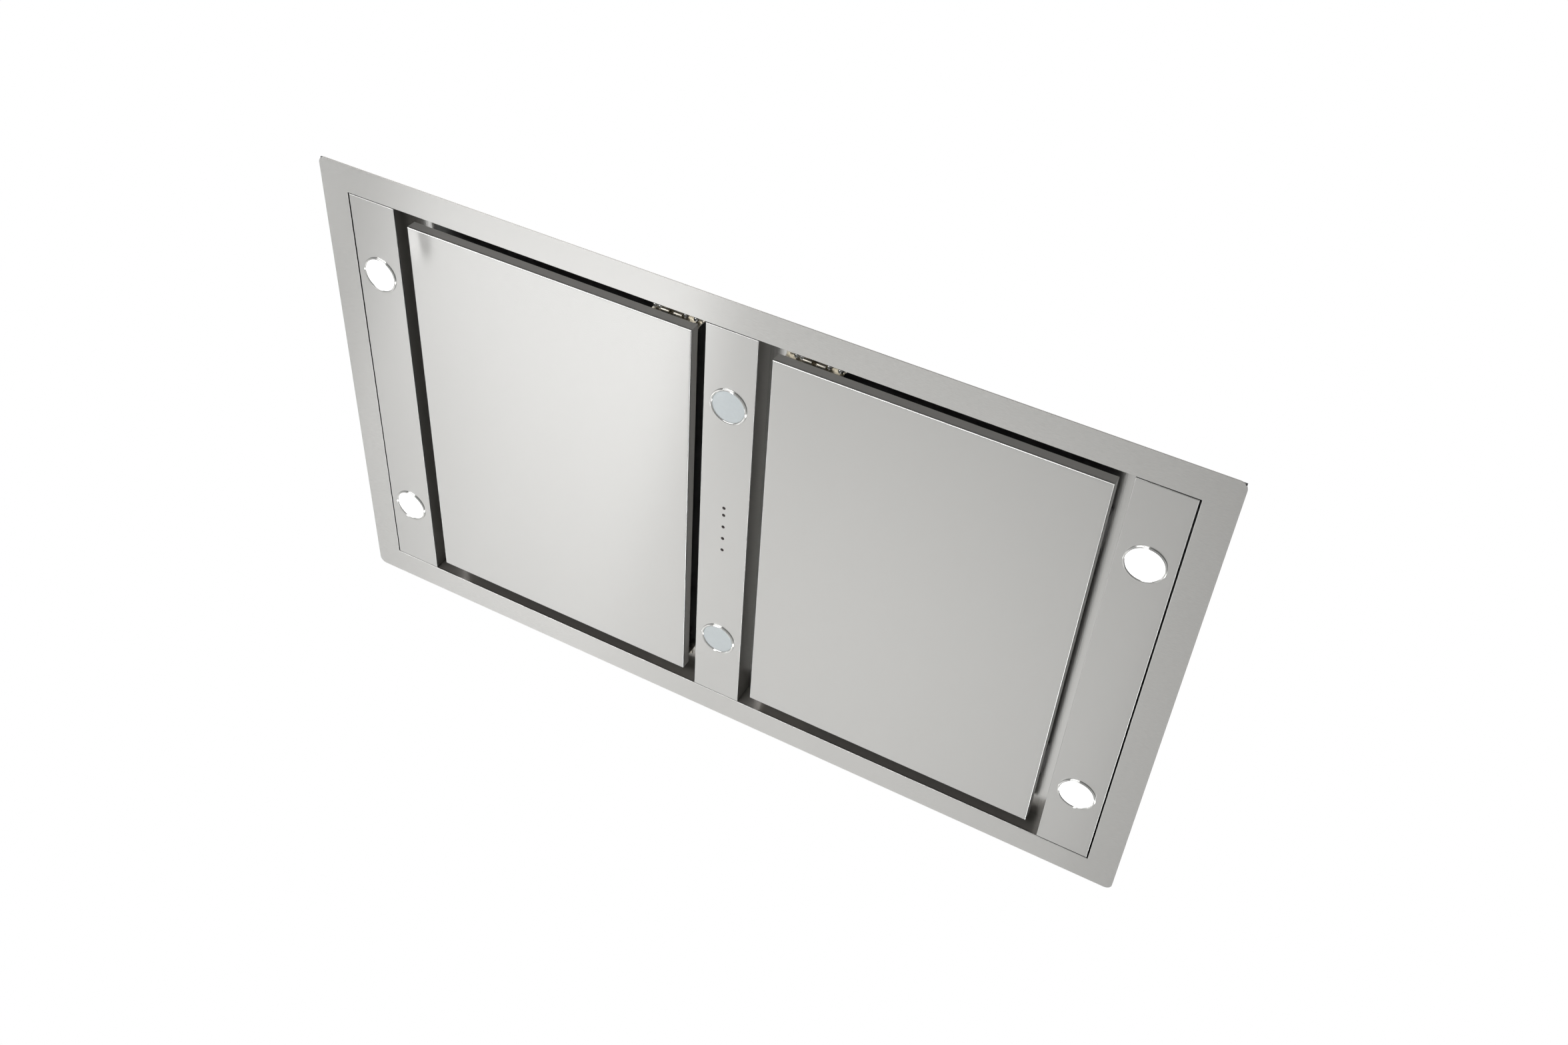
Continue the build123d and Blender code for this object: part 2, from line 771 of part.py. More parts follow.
def make_filter_mesh(side, name):
    """The pad of layered aluminium mesh that the frame's groove holds."""
    with BuildPart() as mesh:
        with BuildSketch(Plane.XY.offset(recess_depth + filter_lip)):
            with Locations((side * recess_centre, 0)):
                Rectangle(
                    filter_x - 2 * (filter_bar - filter_groove),
                    filter_y - 2 * (filter_bar - filter_groove),
                )
        extrude(amount=filter_depth - 2 * filter_lip)
    save(mesh, name)


def make_filter_latch(side, name):
    """The sliding bolt over the filter's edge, with a finger tab down through the frame."""
    outer = side * filter_side
    plate_far = side * (filter_edge + tray_sheet + latch_reach)
    plate_near = outer - side * latch_tail
    plate_level = rim_top + latch_lift
    tab_far = outer - side * latch_tab_inset + side * latch_tab_sheet
    with BuildPart() as latch:
        with BuildSketch(Plane.XY.offset(plate_level)):
            with Locations(((plate_far + plate_near) / 2, 0)):
                Rectangle(abs(plate_far - plate_near), latch_width)
        extrude(amount=latch_sheet)
        with BuildSketch(Plane.XY.offset(recess_depth - latch_tab_drop)):
            with Locations((tab_far - side * latch_tab_sheet / 2, 0)):
                Rectangle(latch_tab_sheet, latch_tab_width)
        extrude(amount=plate_level - recess_depth + latch_tab_drop)
    save(latch, name)


def make_latch_spring(side, name):
    """A folded leaf spring in the frame's slot, which pushes the tab outwards."""
    tab_back = side * (filter_side - latch_tab_inset)
    slot_back = side * (filter_side - latch_tab_inset + latch_tab_sheet - latch_slot_length)
    half = latch_tab_width / 2
    crown = tab_back - side * spring_play
    level = recess_depth + (filter_depth - spring_height) / 2
    with BuildPart() as spring:
        with BuildSketch(Plane.XY.offset(level)):
            with BuildLine():
                Polyline(
                    (slot_back, -half),
                    (crown, -spring_crown),
                    (crown, spring_crown),
                    (slot_back, half),
                    (slot_back, half - 2 * spring_sheet),
                    (crown - side * spring_sheet, spring_crown - spring_sheet),
                    (crown - side * spring_sheet, -spring_crown + spring_sheet),
                    (slot_back, -half + 2 * spring_sheet),
                    close=True,
                )
            make_face()
        extrude(amount=spring_height)
    save(spring, name)


for place, side in SIDES.items():
    make_filter_frame(side, f"filter_frame_{place}")
    make_filter_mesh(side, f"filter_mesh_{place}")
    make_filter_latch(side, f"filter_latch_{place}")
    make_latch_spring(side, f"latch_spring_{place}")


# ---------------------------------------------------------------- lamps
STRIP_PLACES = list(STRIPS.values())
LAMP_PLACES = [(x, t * lamp_y) for x in STRIP_PLACES for t in (-1, 1)]
LIT_PLACES = [place for place in LAMP_PLACES if place[0] != 0]
UNLIT_PLACES = [place for place in LAMP_PLACES if place[0] == 0]

# Six turned and chromed rings, seated on the strips round the lamp holes.
with BuildPart() as lamp_bezels:
    with BuildSketch(Plane.XZ):
        with BuildLine():
            Polyline(
                (bezel_inner, -bezel_proud),
                (bezel_outer, 0),
                (bezel_inner, 0),
                close=True,
            )
        make_face()
    revolve(axis=Axis.Z)
one_bezel = lamp_bezels.part
with BuildPart() as lamp_bezels:
    with Locations(*LAMP_PLACES):
        add(one_bezel)
save(lamp_bezels, "lamp_bezels")


def make_lamp_lenses(places, name):
    """Frosted discs seated in their bezels."""
    with BuildPart() as lens:
        with BuildSketch(Plane.XY.offset(-lens_proud)):
            with Locations(*places):
                Circle(bezel_inner - lens_clearance)
        extrude(amount=lens_sheet)
    save(lens, name)


make_lamp_lenses(LIT_PLACES, "lamp_lenses_outer")
make_lamp_lenses(UNLIT_PLACES, "lamp_lenses_centre")

# Bodies behind the lenses, cast with flats, each held up by two spring clips on the strip.
with BuildPart() as lamp_bodies:
    body_start = lens_sheet - lens_proud
    with BuildSketch(Plane.XY.offset(body_start)):
        RegularPolygon(lamp_body_radius, lamp_body_sides)
    extrude(amount=lamp_body_height)
    with BuildSketch(Plane.YZ):
        with BuildLine():
            clip_root = lamp_body_radius - clip_sheet - clip_seat
            clip_tip = bezel_outer + clip_reach
            Polyline(
                (clip_root, clip_level),
                (clip_root, clip_level + clip_sheet),
                (lamp_hole + clip_sheet, clip_level + clip_sheet),
                (clip_tip, strip_sheet + clip_sheet),
                (clip_tip, strip_sheet),
                (clip_tip - clip_sheet, strip_sheet),
                (lamp_hole, clip_level),
                close=True,
            )
        make_face()
    extrude(amount=clip_width / 2, both=True)
    mirror(about=Plane.XZ)
one_body = lamp_bodies.part
with BuildPart() as lamp_bodies:
    with Locations(*LAMP_PLACES):
        add(one_body)
save(lamp_bodies, "lamp_bodies")

# ---------------------------------------------------------------- indicators
# One bar of dark plastic lies behind the strip's five holes and lights them from the board.
with BuildPart() as indicator_bar:
    bar_start = dot_places[0] - dot_margin
    bar_end = dot_places[-1] + dot_margin
    with BuildSketch(Plane.XY.offset(strip_sheet)):
        with Locations((0, (bar_start + bar_end) / 2)):
            Rectangle(dot_bar_width, bar_end - bar_start)
    extrude(amount=dot_bar_height)
save(indicator_bar, "indicator_bar")

with BuildPart() as receiver_board:
    board_level = strip_sheet + dot_bar_height
    with BuildSketch(Plane.XY.offset(board_level)):
        with Locations((0, (bar_start + bar_end) / 2)):
            Rectangle(board_width, bar_end - bar_start + 2 * board_margin)
    extrude(amount=board_sheet)
    with BuildSketch(Plane.XY.offset(strip_sheet)):
        with Locations((0, bar_start - board_margin / 2), (0, bar_end + board_margin / 2)):
            Rectangle(dot_bar_width, board_margin / 2)
    extrude(amount=dot_bar_height)
    with BuildSketch(Plane.XY.offset(board_level + board_sheet)):
        with Locations((0, bar_start)):
            Rectangle(board_width / 2, board_width / 3)
        with Locations((0, bar_end)):
            Rectangle(board_width / 2, board_width / 2)
    extrude(amount=chip_height)
save(receiver_board, "receiver_board")


# ---------------------------------------------------------------- blower
# Outline of the scroll: four arcs on a small square's corners, then the outlet.
with BuildSketch() as volute:
    with BuildLine():
        radii = [volute_largest - i * volute_step for i in range(4)]
        CenterArc((volute_half, volute_half), radii[0], 0, -90)
        CenterArc((volute_half, -volute_half), radii[1], -90, -90)
        CenterArc((-volute_half, -volute_half), radii[2], 180, -90)
        CenterArc((-volute_half, volute_half), radii[3], 90, volute_cutoff_angle - 90)
        Polyline(
            (cutoff_y, cutoff_z),
            (cutoff_y, scroll_outlet_rise),
            (scroll_far_y, scroll_outlet_rise),
            (scroll_far_y, volute_half),
        )
    make_face()


def make_scroll(side, name):
    """One moulded half of the scroll: outline wall and side plate with its inlet."""
    middle = Plane(origin=(0, blower_y, blower_height), x_dir=(0, 1, 0), z_dir=(1, 0, 0))
    with BuildPart() as scroll:
        with BuildSketch(middle):
            add(volute.sketch)
        extrude(amount=side * scroll_half_width)
        with BuildSketch(middle):
            add(volute.sketch)
            offset(amount=-scroll_wall, mode=Mode.REPLACE)
        extrude(amount=side * (scroll_half_width - scroll_wall), mode=Mode.SUBTRACT)
        mouth = (scroll_far_y - cutoff_y) - 2 * scroll_wall
        with BuildSketch(Plane.XY.offset(scroll_top - scroll_wall)):
            with Locations((side * (scroll_half_width - scroll_wall) / 2, 0)):
                Rectangle(scroll_half_width - scroll_wall, mouth)
        extrude(amount=scroll_wall, mode=Mode.SUBTRACT)
        with BuildSketch(middle):
            Circle(inlet_radius)
        extrude(amount=side * scroll_half_width, mode=Mode.SUBTRACT)
    save(scroll, name)


for place, side in SIDES.items():
    make_scroll(side, f"scroll_{place}")

blower_plane = Plane(origin=(0, blower_y, blower_height), x_dir=(0, 1, 0), z_dir=(1, 0, 0))
ring_inner = impeller_radius - impeller_blade_depth


def blade_arc(shift):
    """Three points of one side of a bowed blade, shifted sideways from its middle line."""
    lean = radians(blade_lean_angle) / 2
    root_radius = ring_inner + blade_sheet
    tip_radius = impeller_radius - blade_sheet
    middle_radius = (root_radius + tip_radius) / 2
    turns = ((root_radius, 0), (middle_radius, lean / 2 - radians(blade_bow_angle)), (tip_radius, lean))
    return [(r * cos(a) - shift * sin(a), r * sin(a) + shift * cos(a)) for r, a in turns]


# Double-inlet wheel: centre disc and hub, two end rings, and forward-leaning blades between them.
with BuildPart() as impeller:
    with BuildSketch(blower_plane):
        Circle(impeller_radius)
    extrude(amount=impeller_disc / 2, both=True)
    with BuildSketch(blower_plane):
        Circle(hub_radius)
    extrude(amount=hub_length, both=True)
    for side in SIDES.values():
        with BuildSketch(blower_plane.offset(side * (impeller_half_length - impeller_ring))):
            Circle(impeller_radius)
            Circle(ring_inner, mode=Mode.SUBTRACT)
        extrude(amount=side * impeller_ring)
    with BuildSketch(blower_plane):
        with PolarLocations(0, blade_count):
            with BuildLine():
                pressure_side = ThreePointArc(*blade_arc(-blade_sheet / 2))
                suction_side = ThreePointArc(*blade_arc(blade_sheet / 2))
                Line(pressure_side @ 0, suction_side @ 0)
                Line(pressure_side @ 1, suction_side @ 1)
            make_face()
    extrude(amount=impeller_half_length - impeller_ring, both=True)
    with BuildSketch(blower_plane.offset(-hub_length)):
        Circle(shaft_radius)
    extrude(amount=2 * hub_length, mode=Mode.SUBTRACT)
save(impeller, "impeller")

with BuildPart() as motor_shaft:
    with BuildSketch(blower_plane.offset(-hub_length)):
        Circle(shaft_radius)
    extrude(amount=hub_length + shaft_reach)
save(motor_shaft, "motor_shaft")

with BuildPart() as motor_housing:
    with BuildSketch(blower_plane.offset(motor_start)):
        Circle(motor_radius)
    extrude(amount=motor_length)
    chamfer(motor_housing.edges().filter_by(GeomType.CIRCLE).sort_by(Axis.X)[0], motor_round)
    with BuildSketch(blower_plane.offset(motor_start)):
        Circle(shaft_radius + shaft_clearance)
    extrude(amount=shaft_reach - motor_start + shaft_radius, mode=Mode.SUBTRACT)
save(motor_housing, "motor_housing")

# A three-armed spider carries the motor in the right-hand inlet.
with BuildPart() as motor_bracket:
    spider_x = motor_start + motor_length
    arm_reach = inlet_radius + motor_arm_overlap
    with BuildSketch(blower_plane.offset(spider_x)):
        Rectangle(motor_radius, motor_radius)
    extrude(amount=scroll_half_width + motor_arm_sheet - spider_x)
    with BuildSketch(blower_plane.offset(scroll_half_width)):
        with PolarLocations(0, motor_arm_count, start_angle=90):
            with Locations((arm_reach / 2, 0)):
                Rectangle(arm_reach, motor_arm_width)
    extrude(amount=motor_arm_sheet)
save(motor_bracket, "motor_bracket")

# Two straps hang the scroll under the cover, with a rubber buffer between strap and scroll.
with BuildPart() as blower_straps:
    strap_x = scroll_half_width + mount_height
    strap_bottom = scroll_top - mount_drop - strap_width / 2
    with BuildSketch(Plane.XZ):
        with BuildLine():
            Polyline(
                (strap_x, strap_bottom),
                (strap_x + strap_sheet, strap_bottom),
                (strap_x + strap_sheet, housing_height - strap_sheet),
                (strap_x + strap_foot, housing_height - strap_sheet),
                (strap_x + strap_foot, housing_height),
                (strap_x, housing_height),
                close=True,
            )
        make_face()
    extrude(amount=strap_width, both=True)
    mirror(about=Plane.YZ)
save(blower_straps, "blower_straps")

with BuildPart() as rubber_mounts:
    for side in SIDES.values():
        with BuildSketch(Plane.YZ.offset(side * scroll_half_width)):
            with Locations((0, scroll_top - mount_drop)):
                with GridLocations(strap_width, 0, 2, 1):
                    Rectangle(mount_side, mount_side)
        extrude(amount=side * mount_height)
save(rubber_mounts, "rubber_mounts")

# ---------------------------------------------------------------- outlet
# A hopper from the scroll's mouth to the cover, its top plate cut to the round outlet.
hopper_outside = make_hopper(
    (scroll_half_width, scroll_outlet_width / 2, scroll_top),
    (outlet_radius, outlet_radius, housing_height),
)
hopper_inside = make_hopper(
    (scroll_half_width - scroll_wall, scroll_outlet_width / 2 - scroll_wall, scroll_top),
    (outlet_radius - scroll_wall, outlet_radius - scroll_wall, housing_height),
)
with BuildPart() as outlet_adaptor:
    add(hopper_outside)
    add(hopper_inside, mode=Mode.SUBTRACT)
    with BuildSketch(Plane.XY.offset(housing_height)):
        Rectangle(2 * outlet_radius, 2 * outlet_radius)
        Circle(outlet_radius - outlet_wall, mode=Mode.SUBTRACT)
    extrude(amount=-scroll_wall)
save(outlet_adaptor, "outlet_adaptor")

pin_level = cover_top + flap_level
with BuildPart() as outlet_spigot:
    with BuildSketch(Plane.XY.offset(cover_top)):
        Circle(outlet_radius)
        Circle(outlet_radius - outlet_wall, mode=Mode.SUBTRACT)
    extrude(amount=outlet_height)
    with BuildSketch(Plane.XY.offset(cover_top)):
        Circle(outlet_radius + outlet_flange)
        Circle(outlet_radius - outlet_wall, mode=Mode.SUBTRACT)
    extrude(amount=outlet_flange_sheet)
    stop_radius = outlet_radius - outlet_wall / 2 - flap_stop_reach / 2
    with BuildSketch(Plane.XY.offset(pin_level - flap_rest_gap - flap_sheet / 2)):
        with Locations((0, -stop_radius), (0, stop_radius)):
            Rectangle(flap_stop_width, flap_stop_reach)
    extrude(amount=-flap_stop_sheet)
save(outlet_spigot, "outlet_spigot")

with BuildPart() as damper_pin:
    with BuildSketch(Plane.YZ):
        with Locations((0, pin_level)):
            Circle(flap_pin_radius)
    extrude(amount=outlet_radius - outlet_wall - flap_pin_clearance, both=True)
save(damper_pin, "damper_pin")


def make_damper_flap(side, name):
    """A half-round flap with a knuckle on the shared pin; the air lifts it, its weight shuts it."""
    flap_radius = outlet_radius - outlet_wall - flap_edge_gap
    knuckle_start = flap_knuckle_gap if side > 0 else -flap_knuckle_gap - flap_knuckle_length
    with BuildPart() as flap:
        with BuildSketch(Plane.XY.offset(pin_level - flap_sheet / 2)):
            Circle(flap_radius)
            with Locations((0, side * (flap_split - outlet_radius))):
                Rectangle(2 * outlet_radius, 2 * outlet_radius, mode=Mode.SUBTRACT)
            with Locations((knuckle_start + flap_knuckle_length / 2, side * flap_split / 2)):
                Rectangle(flap_knuckle_length, flap_split + flap_sheet)
        extrude(amount=flap_sheet)
        with BuildSketch(Plane.YZ.offset(knuckle_start)):
            with Locations((0, pin_level)):
                Circle(flap_knuckle)
        extrude(amount=flap_knuckle_length)
        with Locations(Plane(origin=(0, 0, pin_level), z_dir=(1, 0, 0))):
            Hole(flap_pin_radius + flap_pin_clearance)
    save(flap, name)


make_damper_flap(-1, "damper_flap_front")
make_damper_flap(1, "damper_flap_back")

# ---------------------------------------------------------------- electrical boxes
floor_level = recess_depth + tray_sheet
with BuildPart() as control_box:
    with BuildSketch(Plane.XY.offset(floor_level)):
        with Locations((0, control_y)):
            Rectangle(control_width, control_length)
    extrude(amount=control_height)
    offset(amount=-control_wall, openings=control_box.faces().sort_by(Axis.Z)[-1])
save(control_box, "control_box")

with BuildPart() as control_lid_piece:
    with BuildSketch(Plane.XY.offset(floor_level + control_height)):
        with Locations((0, control_y)):
            Rectangle(control_width, control_length)
    extrude(amount=control_lid)
save(control_lid_piece, "control_lid")

with BuildPart() as control_board:
    with BuildSketch(Plane.XY.offset(floor_level + control_wall)):
        with Locations((0, control_y)):
            Rectangle(control_width - 2 * control_margin, control_length - 2 * control_margin)
    extrude(amount=board_sheet)
    with BuildSketch(Plane.XY.offset(floor_level + control_wall + board_sheet)):
        with Locations((0, control_y)):
            with GridLocations(control_width / 3, control_length / 3, 2, 2):
                Rectangle(control_margin, control_margin)
    extrude(amount=component_height)
save(control_board, "control_board")

with BuildPart() as lamp_driver:
    with BuildSketch(Plane.XY.offset(floor_level)):
        with Locations((0, driver_y)):
            Rectangle(driver_length, driver_width)
    extrude(amount=driver_height)
    chamfer(lamp_driver.faces().sort_by(Axis.Z)[-1].edges(), box_bevel)
save(lamp_driver, "lamp_driver")

with BuildPart() as terminal_box:
    with BuildSketch(Plane.XY.offset(cover_top)):
        with Locations((terminal_x, terminal_y)):
            Rectangle(terminal_length, terminal_width)
    extrude(amount=terminal_height)
    chamfer(terminal_box.faces().sort_by(Axis.Z)[-1].edges(), box_bevel)
save(terminal_box, "terminal_box")

with BuildPart() as cable_gland:
    gland_x = terminal_x - terminal_length / 2
    with BuildSketch(Plane.YZ.offset(gland_x)):
        with Locations((terminal_y, cover_top + terminal_height / 2)):
            Circle(gland_radius)
    extrude(amount=-gland_length)
    with BuildSketch(Plane.YZ.offset(gland_x)):
        with Locations((terminal_y, cover_top + terminal_height / 2)):
            RegularPolygon(gland_nut, screw_sides)
    extrude(amount=-gland_nut_length)
    with BuildSketch(Plane.YZ.offset(gland_x)):
        with Locations((terminal_y, cover_top + terminal_height / 2)):
            Circle(gland_bore)
    extrude(amount=-gland_length, mode=Mode.SUBTRACT)
save(cable_gland, "cable_gland")
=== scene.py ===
from math import pi, radians

import bmesh
import bpy
import numpy as np
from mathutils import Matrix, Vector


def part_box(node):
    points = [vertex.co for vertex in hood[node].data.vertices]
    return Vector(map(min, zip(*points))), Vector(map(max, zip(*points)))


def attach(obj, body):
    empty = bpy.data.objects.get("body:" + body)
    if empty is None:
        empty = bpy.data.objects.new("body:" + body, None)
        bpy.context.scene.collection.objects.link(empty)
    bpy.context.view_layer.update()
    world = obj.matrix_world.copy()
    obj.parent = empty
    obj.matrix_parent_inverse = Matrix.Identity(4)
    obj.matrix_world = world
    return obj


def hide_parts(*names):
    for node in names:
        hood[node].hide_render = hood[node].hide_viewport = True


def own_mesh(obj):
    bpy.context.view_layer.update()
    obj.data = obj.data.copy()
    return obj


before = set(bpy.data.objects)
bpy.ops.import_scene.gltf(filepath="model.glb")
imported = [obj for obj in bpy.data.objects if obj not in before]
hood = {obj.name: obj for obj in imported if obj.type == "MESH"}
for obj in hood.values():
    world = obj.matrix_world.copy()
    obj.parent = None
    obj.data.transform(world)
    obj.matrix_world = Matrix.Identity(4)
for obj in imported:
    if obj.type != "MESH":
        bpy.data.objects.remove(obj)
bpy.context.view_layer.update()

# ---------------------------------------------------------------- the room
# The hood hangs at ceiling height over a plain pale floor, in front of a white surround. Two wide
# lamps light the floor and three dim soft boxes lie on it face up, which the flat steel mirrors.
# Three more lamps light the folded edges, and two light the housing above.
floor_level = -2.6
floor_half = 14.0
floor_colour = (0.80, 0.795, 0.775)
floor_roughness = 0.9
surround_light = 0.05
white = (1.0, 1.0, 1.0, 1.0)

camera_place = (0.688865, -1.326219, -1.295266)
camera_turn = (140.078357, -28.011103, -3.923816)
sensor_width = 36.0
focal_pixels = 2305.38
photo_width = 2352

camera_lens = bpy.data.cameras.new("photo_camera")
camera_lens.sensor_width = sensor_width
camera_lens.lens = sensor_width * focal_pixels / photo_width
camera = bpy.data.objects.new("photo_camera", camera_lens)
camera.location = camera_place
camera.rotation_euler = [radians(angle) for angle in camera_turn]
bpy.context.scene.collection.objects.link(camera)
bpy.context.scene.camera = camera
bpy.context.scene.view_settings.view_transform = "Standard"


def soft_lamp(name, place, aim, size, watts):
    """A soft lamp at a place, its size on X and Y given, turned so that it shines on its aim."""
    lamp = bpy.data.lights.new(name, "AREA")
    lamp.shape = "RECTANGLE"
    lamp.size, lamp.size_y = size
    lamp.energy = watts
    stand = bpy.data.objects.new(name, lamp)
    stand.location = place
    away = stand.location.copy()
    for axis in range(3):
        away[axis] -= aim[axis]
    stand.rotation_euler = away.to_track_quat("Z", "Y").to_euler()
    bpy.context.scene.collection.objects.link(stand)


pool_level = -0.3
box_level = -2.5
ceiling_level = 0.0
left_of_middle = (-0.2, 0.0, 0.0)
hood_middle = (0.0, 0.0, 0.0)
housing_middle = (0.0, 0.0, 0.15)

for name, x, y, size, watts in (
    ("pool_middle", -1.4, 3.2, (3.0, 3.0), 65.5),
    ("pool_wide", -1.6, 3.4, (5.4, 5.0), 65.5),
):
    soft_lamp(name, (x, y, pool_level), (x, y, floor_level), size, watts)
for name, x, y, size, watts in (
    ("panel_near", -2.02, 1.45, (1.3, 1.0), 3.7),
    ("panel_far", -2.02, 2.75, (1.3, 1.6), 1.7),
    ("panel_right", -0.56, 3.1, (1.62, 1.8), 0.8),
):
    soft_lamp(name, (x, y, box_level), (x, y, ceiling_level), size, watts)
soft_lamp("edge_front", (-1.4, -2.4, -2.4), left_of_middle, (3.2, 0.9), 70.0)
soft_lamp("edge_right", (3.3, 3.6, -2.2), hood_middle, (1.0, 2.4), 60.0)
soft_lamp("edge_left", (-5.3, 5.0, -2.2), hood_middle, (0.6, 2.0), 25.0)
soft_lamp("housing_key", (-2.2, -2.4, 2.6), housing_middle, (1.4, 1.4), 10.0)
soft_lamp("housing_fill", (2.4, 1.8, 2.2), housing_middle, (1.8, 1.8), 5.0)


def white_surround():
    """The world: plain white to the camera, to mirrors and through glass, and grey as a light."""
    world = bpy.data.worlds.new("white_surround")
    world.use_nodes = True
    tree = world.node_tree
    seen = tree.nodes["Background"]
    lit = tree.nodes.new("ShaderNodeBackground")
    for light, strength in ((seen, 1.0), (lit, surround_light)):
        light.inputs["Color"].default_value = white
        light.inputs["Strength"].default_value = strength
    rays = tree.nodes.new("ShaderNodeLightPath").outputs
    in_view = rays["Is Camera Ray"]
    for other_ray in ("Is Glossy Ray", "Is Transmission Ray"):
        either = tree.nodes.new("ShaderNodeMath")
        either.operation = "MAXIMUM"
        tree.links.new(in_view, either.inputs[0])
        tree.links.new(rays[other_ray], either.inputs[1])
        in_view = either.outputs[0]
    choice = tree.nodes.new("ShaderNodeMixShader")
    tree.links.new(in_view, choice.inputs["Fac"])
    tree.links.new(lit.outputs[0], choice.inputs[1])
    tree.links.new(seen.outputs[0], choice.inputs[2])
    tree.links.new(choice.outputs[0], tree.nodes["World Output"].inputs["Surface"])
    bpy.context.scene.world = world


white_surround()


def plain_floor():
    """A flat pale matt sheet under the hood."""
    ends = ((-1, -1), (1, -1), (1, 1), (-1, 1))
    corners = [(x * floor_half, y * floor_half, floor_level) for x, y in ends]
    mesh = bpy.data.meshes.new("floor")
    mesh.from_pydata(corners, [], [(0, 1, 2, 3)])
    sheet = bpy.data.objects.new("floor", mesh)
    bpy.context.scene.collection.objects.link(sheet)
    finish = bpy.data.materials.new("pale_floor")
    finish.use_nodes = True
    shader = finish.node_tree.nodes["Principled BSDF"]
    shader.inputs["Base Color"].default_value = (*floor_colour, 1.0)
    shader.inputs["Roughness"].default_value = floor_roughness
    mesh.materials.append(finish)


plain_floor()


# ---------------------------------------------------------------- ceiling frame
# One sheet of stainless steel lies on the ceiling, its inner edge folded up into the recess.
# The whole face is brushed along the hood's long side, so the grain runs straight to every edge.
class Finish:
    """One procedural finish: a Principled shader fed by patterns in Object coordinates."""

    def __init__(self, name, colour, metallic, roughness):
        self.material = bpy.data.materials.new(name)
        self.material.use_nodes = True
        self.tree = self.material.node_tree
        self.shader = self.tree.nodes["Principled BSDF"]
        self.shader.inputs["Base Color"].default_value = (*colour, 1.0)
        self.shader.inputs["Metallic"].default_value = metallic
        self.shader.inputs["Roughness"].default_value = roughness
        self.place = self.tree.nodes.new("ShaderNodeTexCoord").outputs["Object"]
        self.colour = colour
        self.height = None

    def noise(self, per_metre, detail=3.0, roughness=0.55):
        """Smooth noise from 0 to 1, so many lumps a metre: one number, or one for each axis."""
        mapping = self.tree.nodes.new("ShaderNodeMapping")
        mapping.inputs["Scale"].default_value = np.broadcast_to(per_metre, 3).tolist()
        self.tree.links.new(self.place, mapping.inputs["Vector"])
        noise = self.tree.nodes.new("ShaderNodeTexNoise")
        noise.inputs["Scale"].default_value = 1.0
        noise.inputs["Detail"].default_value = detail
        noise.inputs["Roughness"].default_value = roughness
        self.tree.links.new(mapping.outputs["Vector"], noise.inputs["Vector"])
        return noise.outputs["Fac"]

    def crystals(self, per_metre):
        """A random value for each cell of a Voronoi pattern, as the spangle of zinc has."""
        cells = self.tree.nodes.new("ShaderNodeTexVoronoi")
        cells.inputs["Scale"].default_value = per_metre
        self.tree.links.new(self.place, cells.inputs["Vector"])
        return cells.outputs["Color"]

    def ranged(self, value, low, high, start=0.3, end=0.7):
        """Spread a pattern's part from start to end over low to high."""
        spread = self.tree.nodes.new("ShaderNodeMapRange")
        spread.inputs["From Min"].default_value = start
        spread.inputs["From Max"].default_value = end
        spread.inputs["To Min"].default_value = low
        spread.inputs["To Max"].default_value = high
        self.tree.links.new(value, spread.inputs["Value"])
        return spread.outputs["Result"]

    def math(self, operation, first, second=0.0):
        """One sum on two values, each a pattern or a plain number."""
        node = self.tree.nodes.new("ShaderNodeMath")
        node.operation = operation
        for value, socket in zip((first, second), node.inputs):
            if isinstance(value, (int, float)):
                socket.default_value = value
            else:
                self.tree.links.new(value, socket)
        return node.outputs[0]

    def axis(self, name, vector=None):
        """The X, Y or Z part of a vector, or of the place where none is given."""
        parts = self.tree.nodes.new("ShaderNodeSeparateXYZ")
        self.tree.links.new(self.place if vector is None else vector, parts.inputs[0])
        return parts.outputs[name]

    def level(self, low, high):
        """A value that goes from 0 to 1 as the place rises from low to high."""
        return self.ranged(self.axis("Z"), 0.0, 1.0, start=low, end=high)

    def sideways(self):
        """A value that is 1 on an upright face, and 0 on one that slopes 60 degrees or less."""
        normal = self.tree.nodes.new("ShaderNodeTexCoord").outputs["Normal"]
        upward = self.math("ABSOLUTE", self.axis("Z", normal))
        return self.ranged(upward, 1.0, 0.0, start=0.0, end=0.5)

    def across_grain(self, direction, amount):
        """Stretch reflections across the grain, along a direction in the piece's own axes."""
        arrow = self.tree.nodes.new("ShaderNodeCombineXYZ")
        for value, socket in zip(direction, arrow.inputs):
            socket.default_value = value
        turn = self.tree.nodes.new("ShaderNodeVectorTransform")
        turn.vector_type = "VECTOR"
        turn.convert_from = "OBJECT"
        turn.convert_to = "WORLD"
        self.tree.links.new(arrow.outputs[0], turn.inputs[0])
        self.tree.links.new(turn.outputs[0], self.shader.inputs["Tangent"])
        self.shader.inputs["Anisotropic"].default_value = amount

    def tint(self, value, darker, lighter):
        """Shade the colour from darker to lighter times itself as the pattern goes from 0 to 1."""
        mix = self.tree.nodes.new("ShaderNodeMix")
        mix.data_type = "RGBA"
        mix.inputs["A"].default_value = (*[darker * part for part in self.colour], 1.0)
        mix.inputs["B"].default_value = (*[min(1.0, lighter * part) for part in self.colour], 1.0)
        self.tree.links.new(value, mix.inputs["Factor"])
        self.tree.links.new(mix.outputs["Result"], self.shader.inputs["Base Color"])

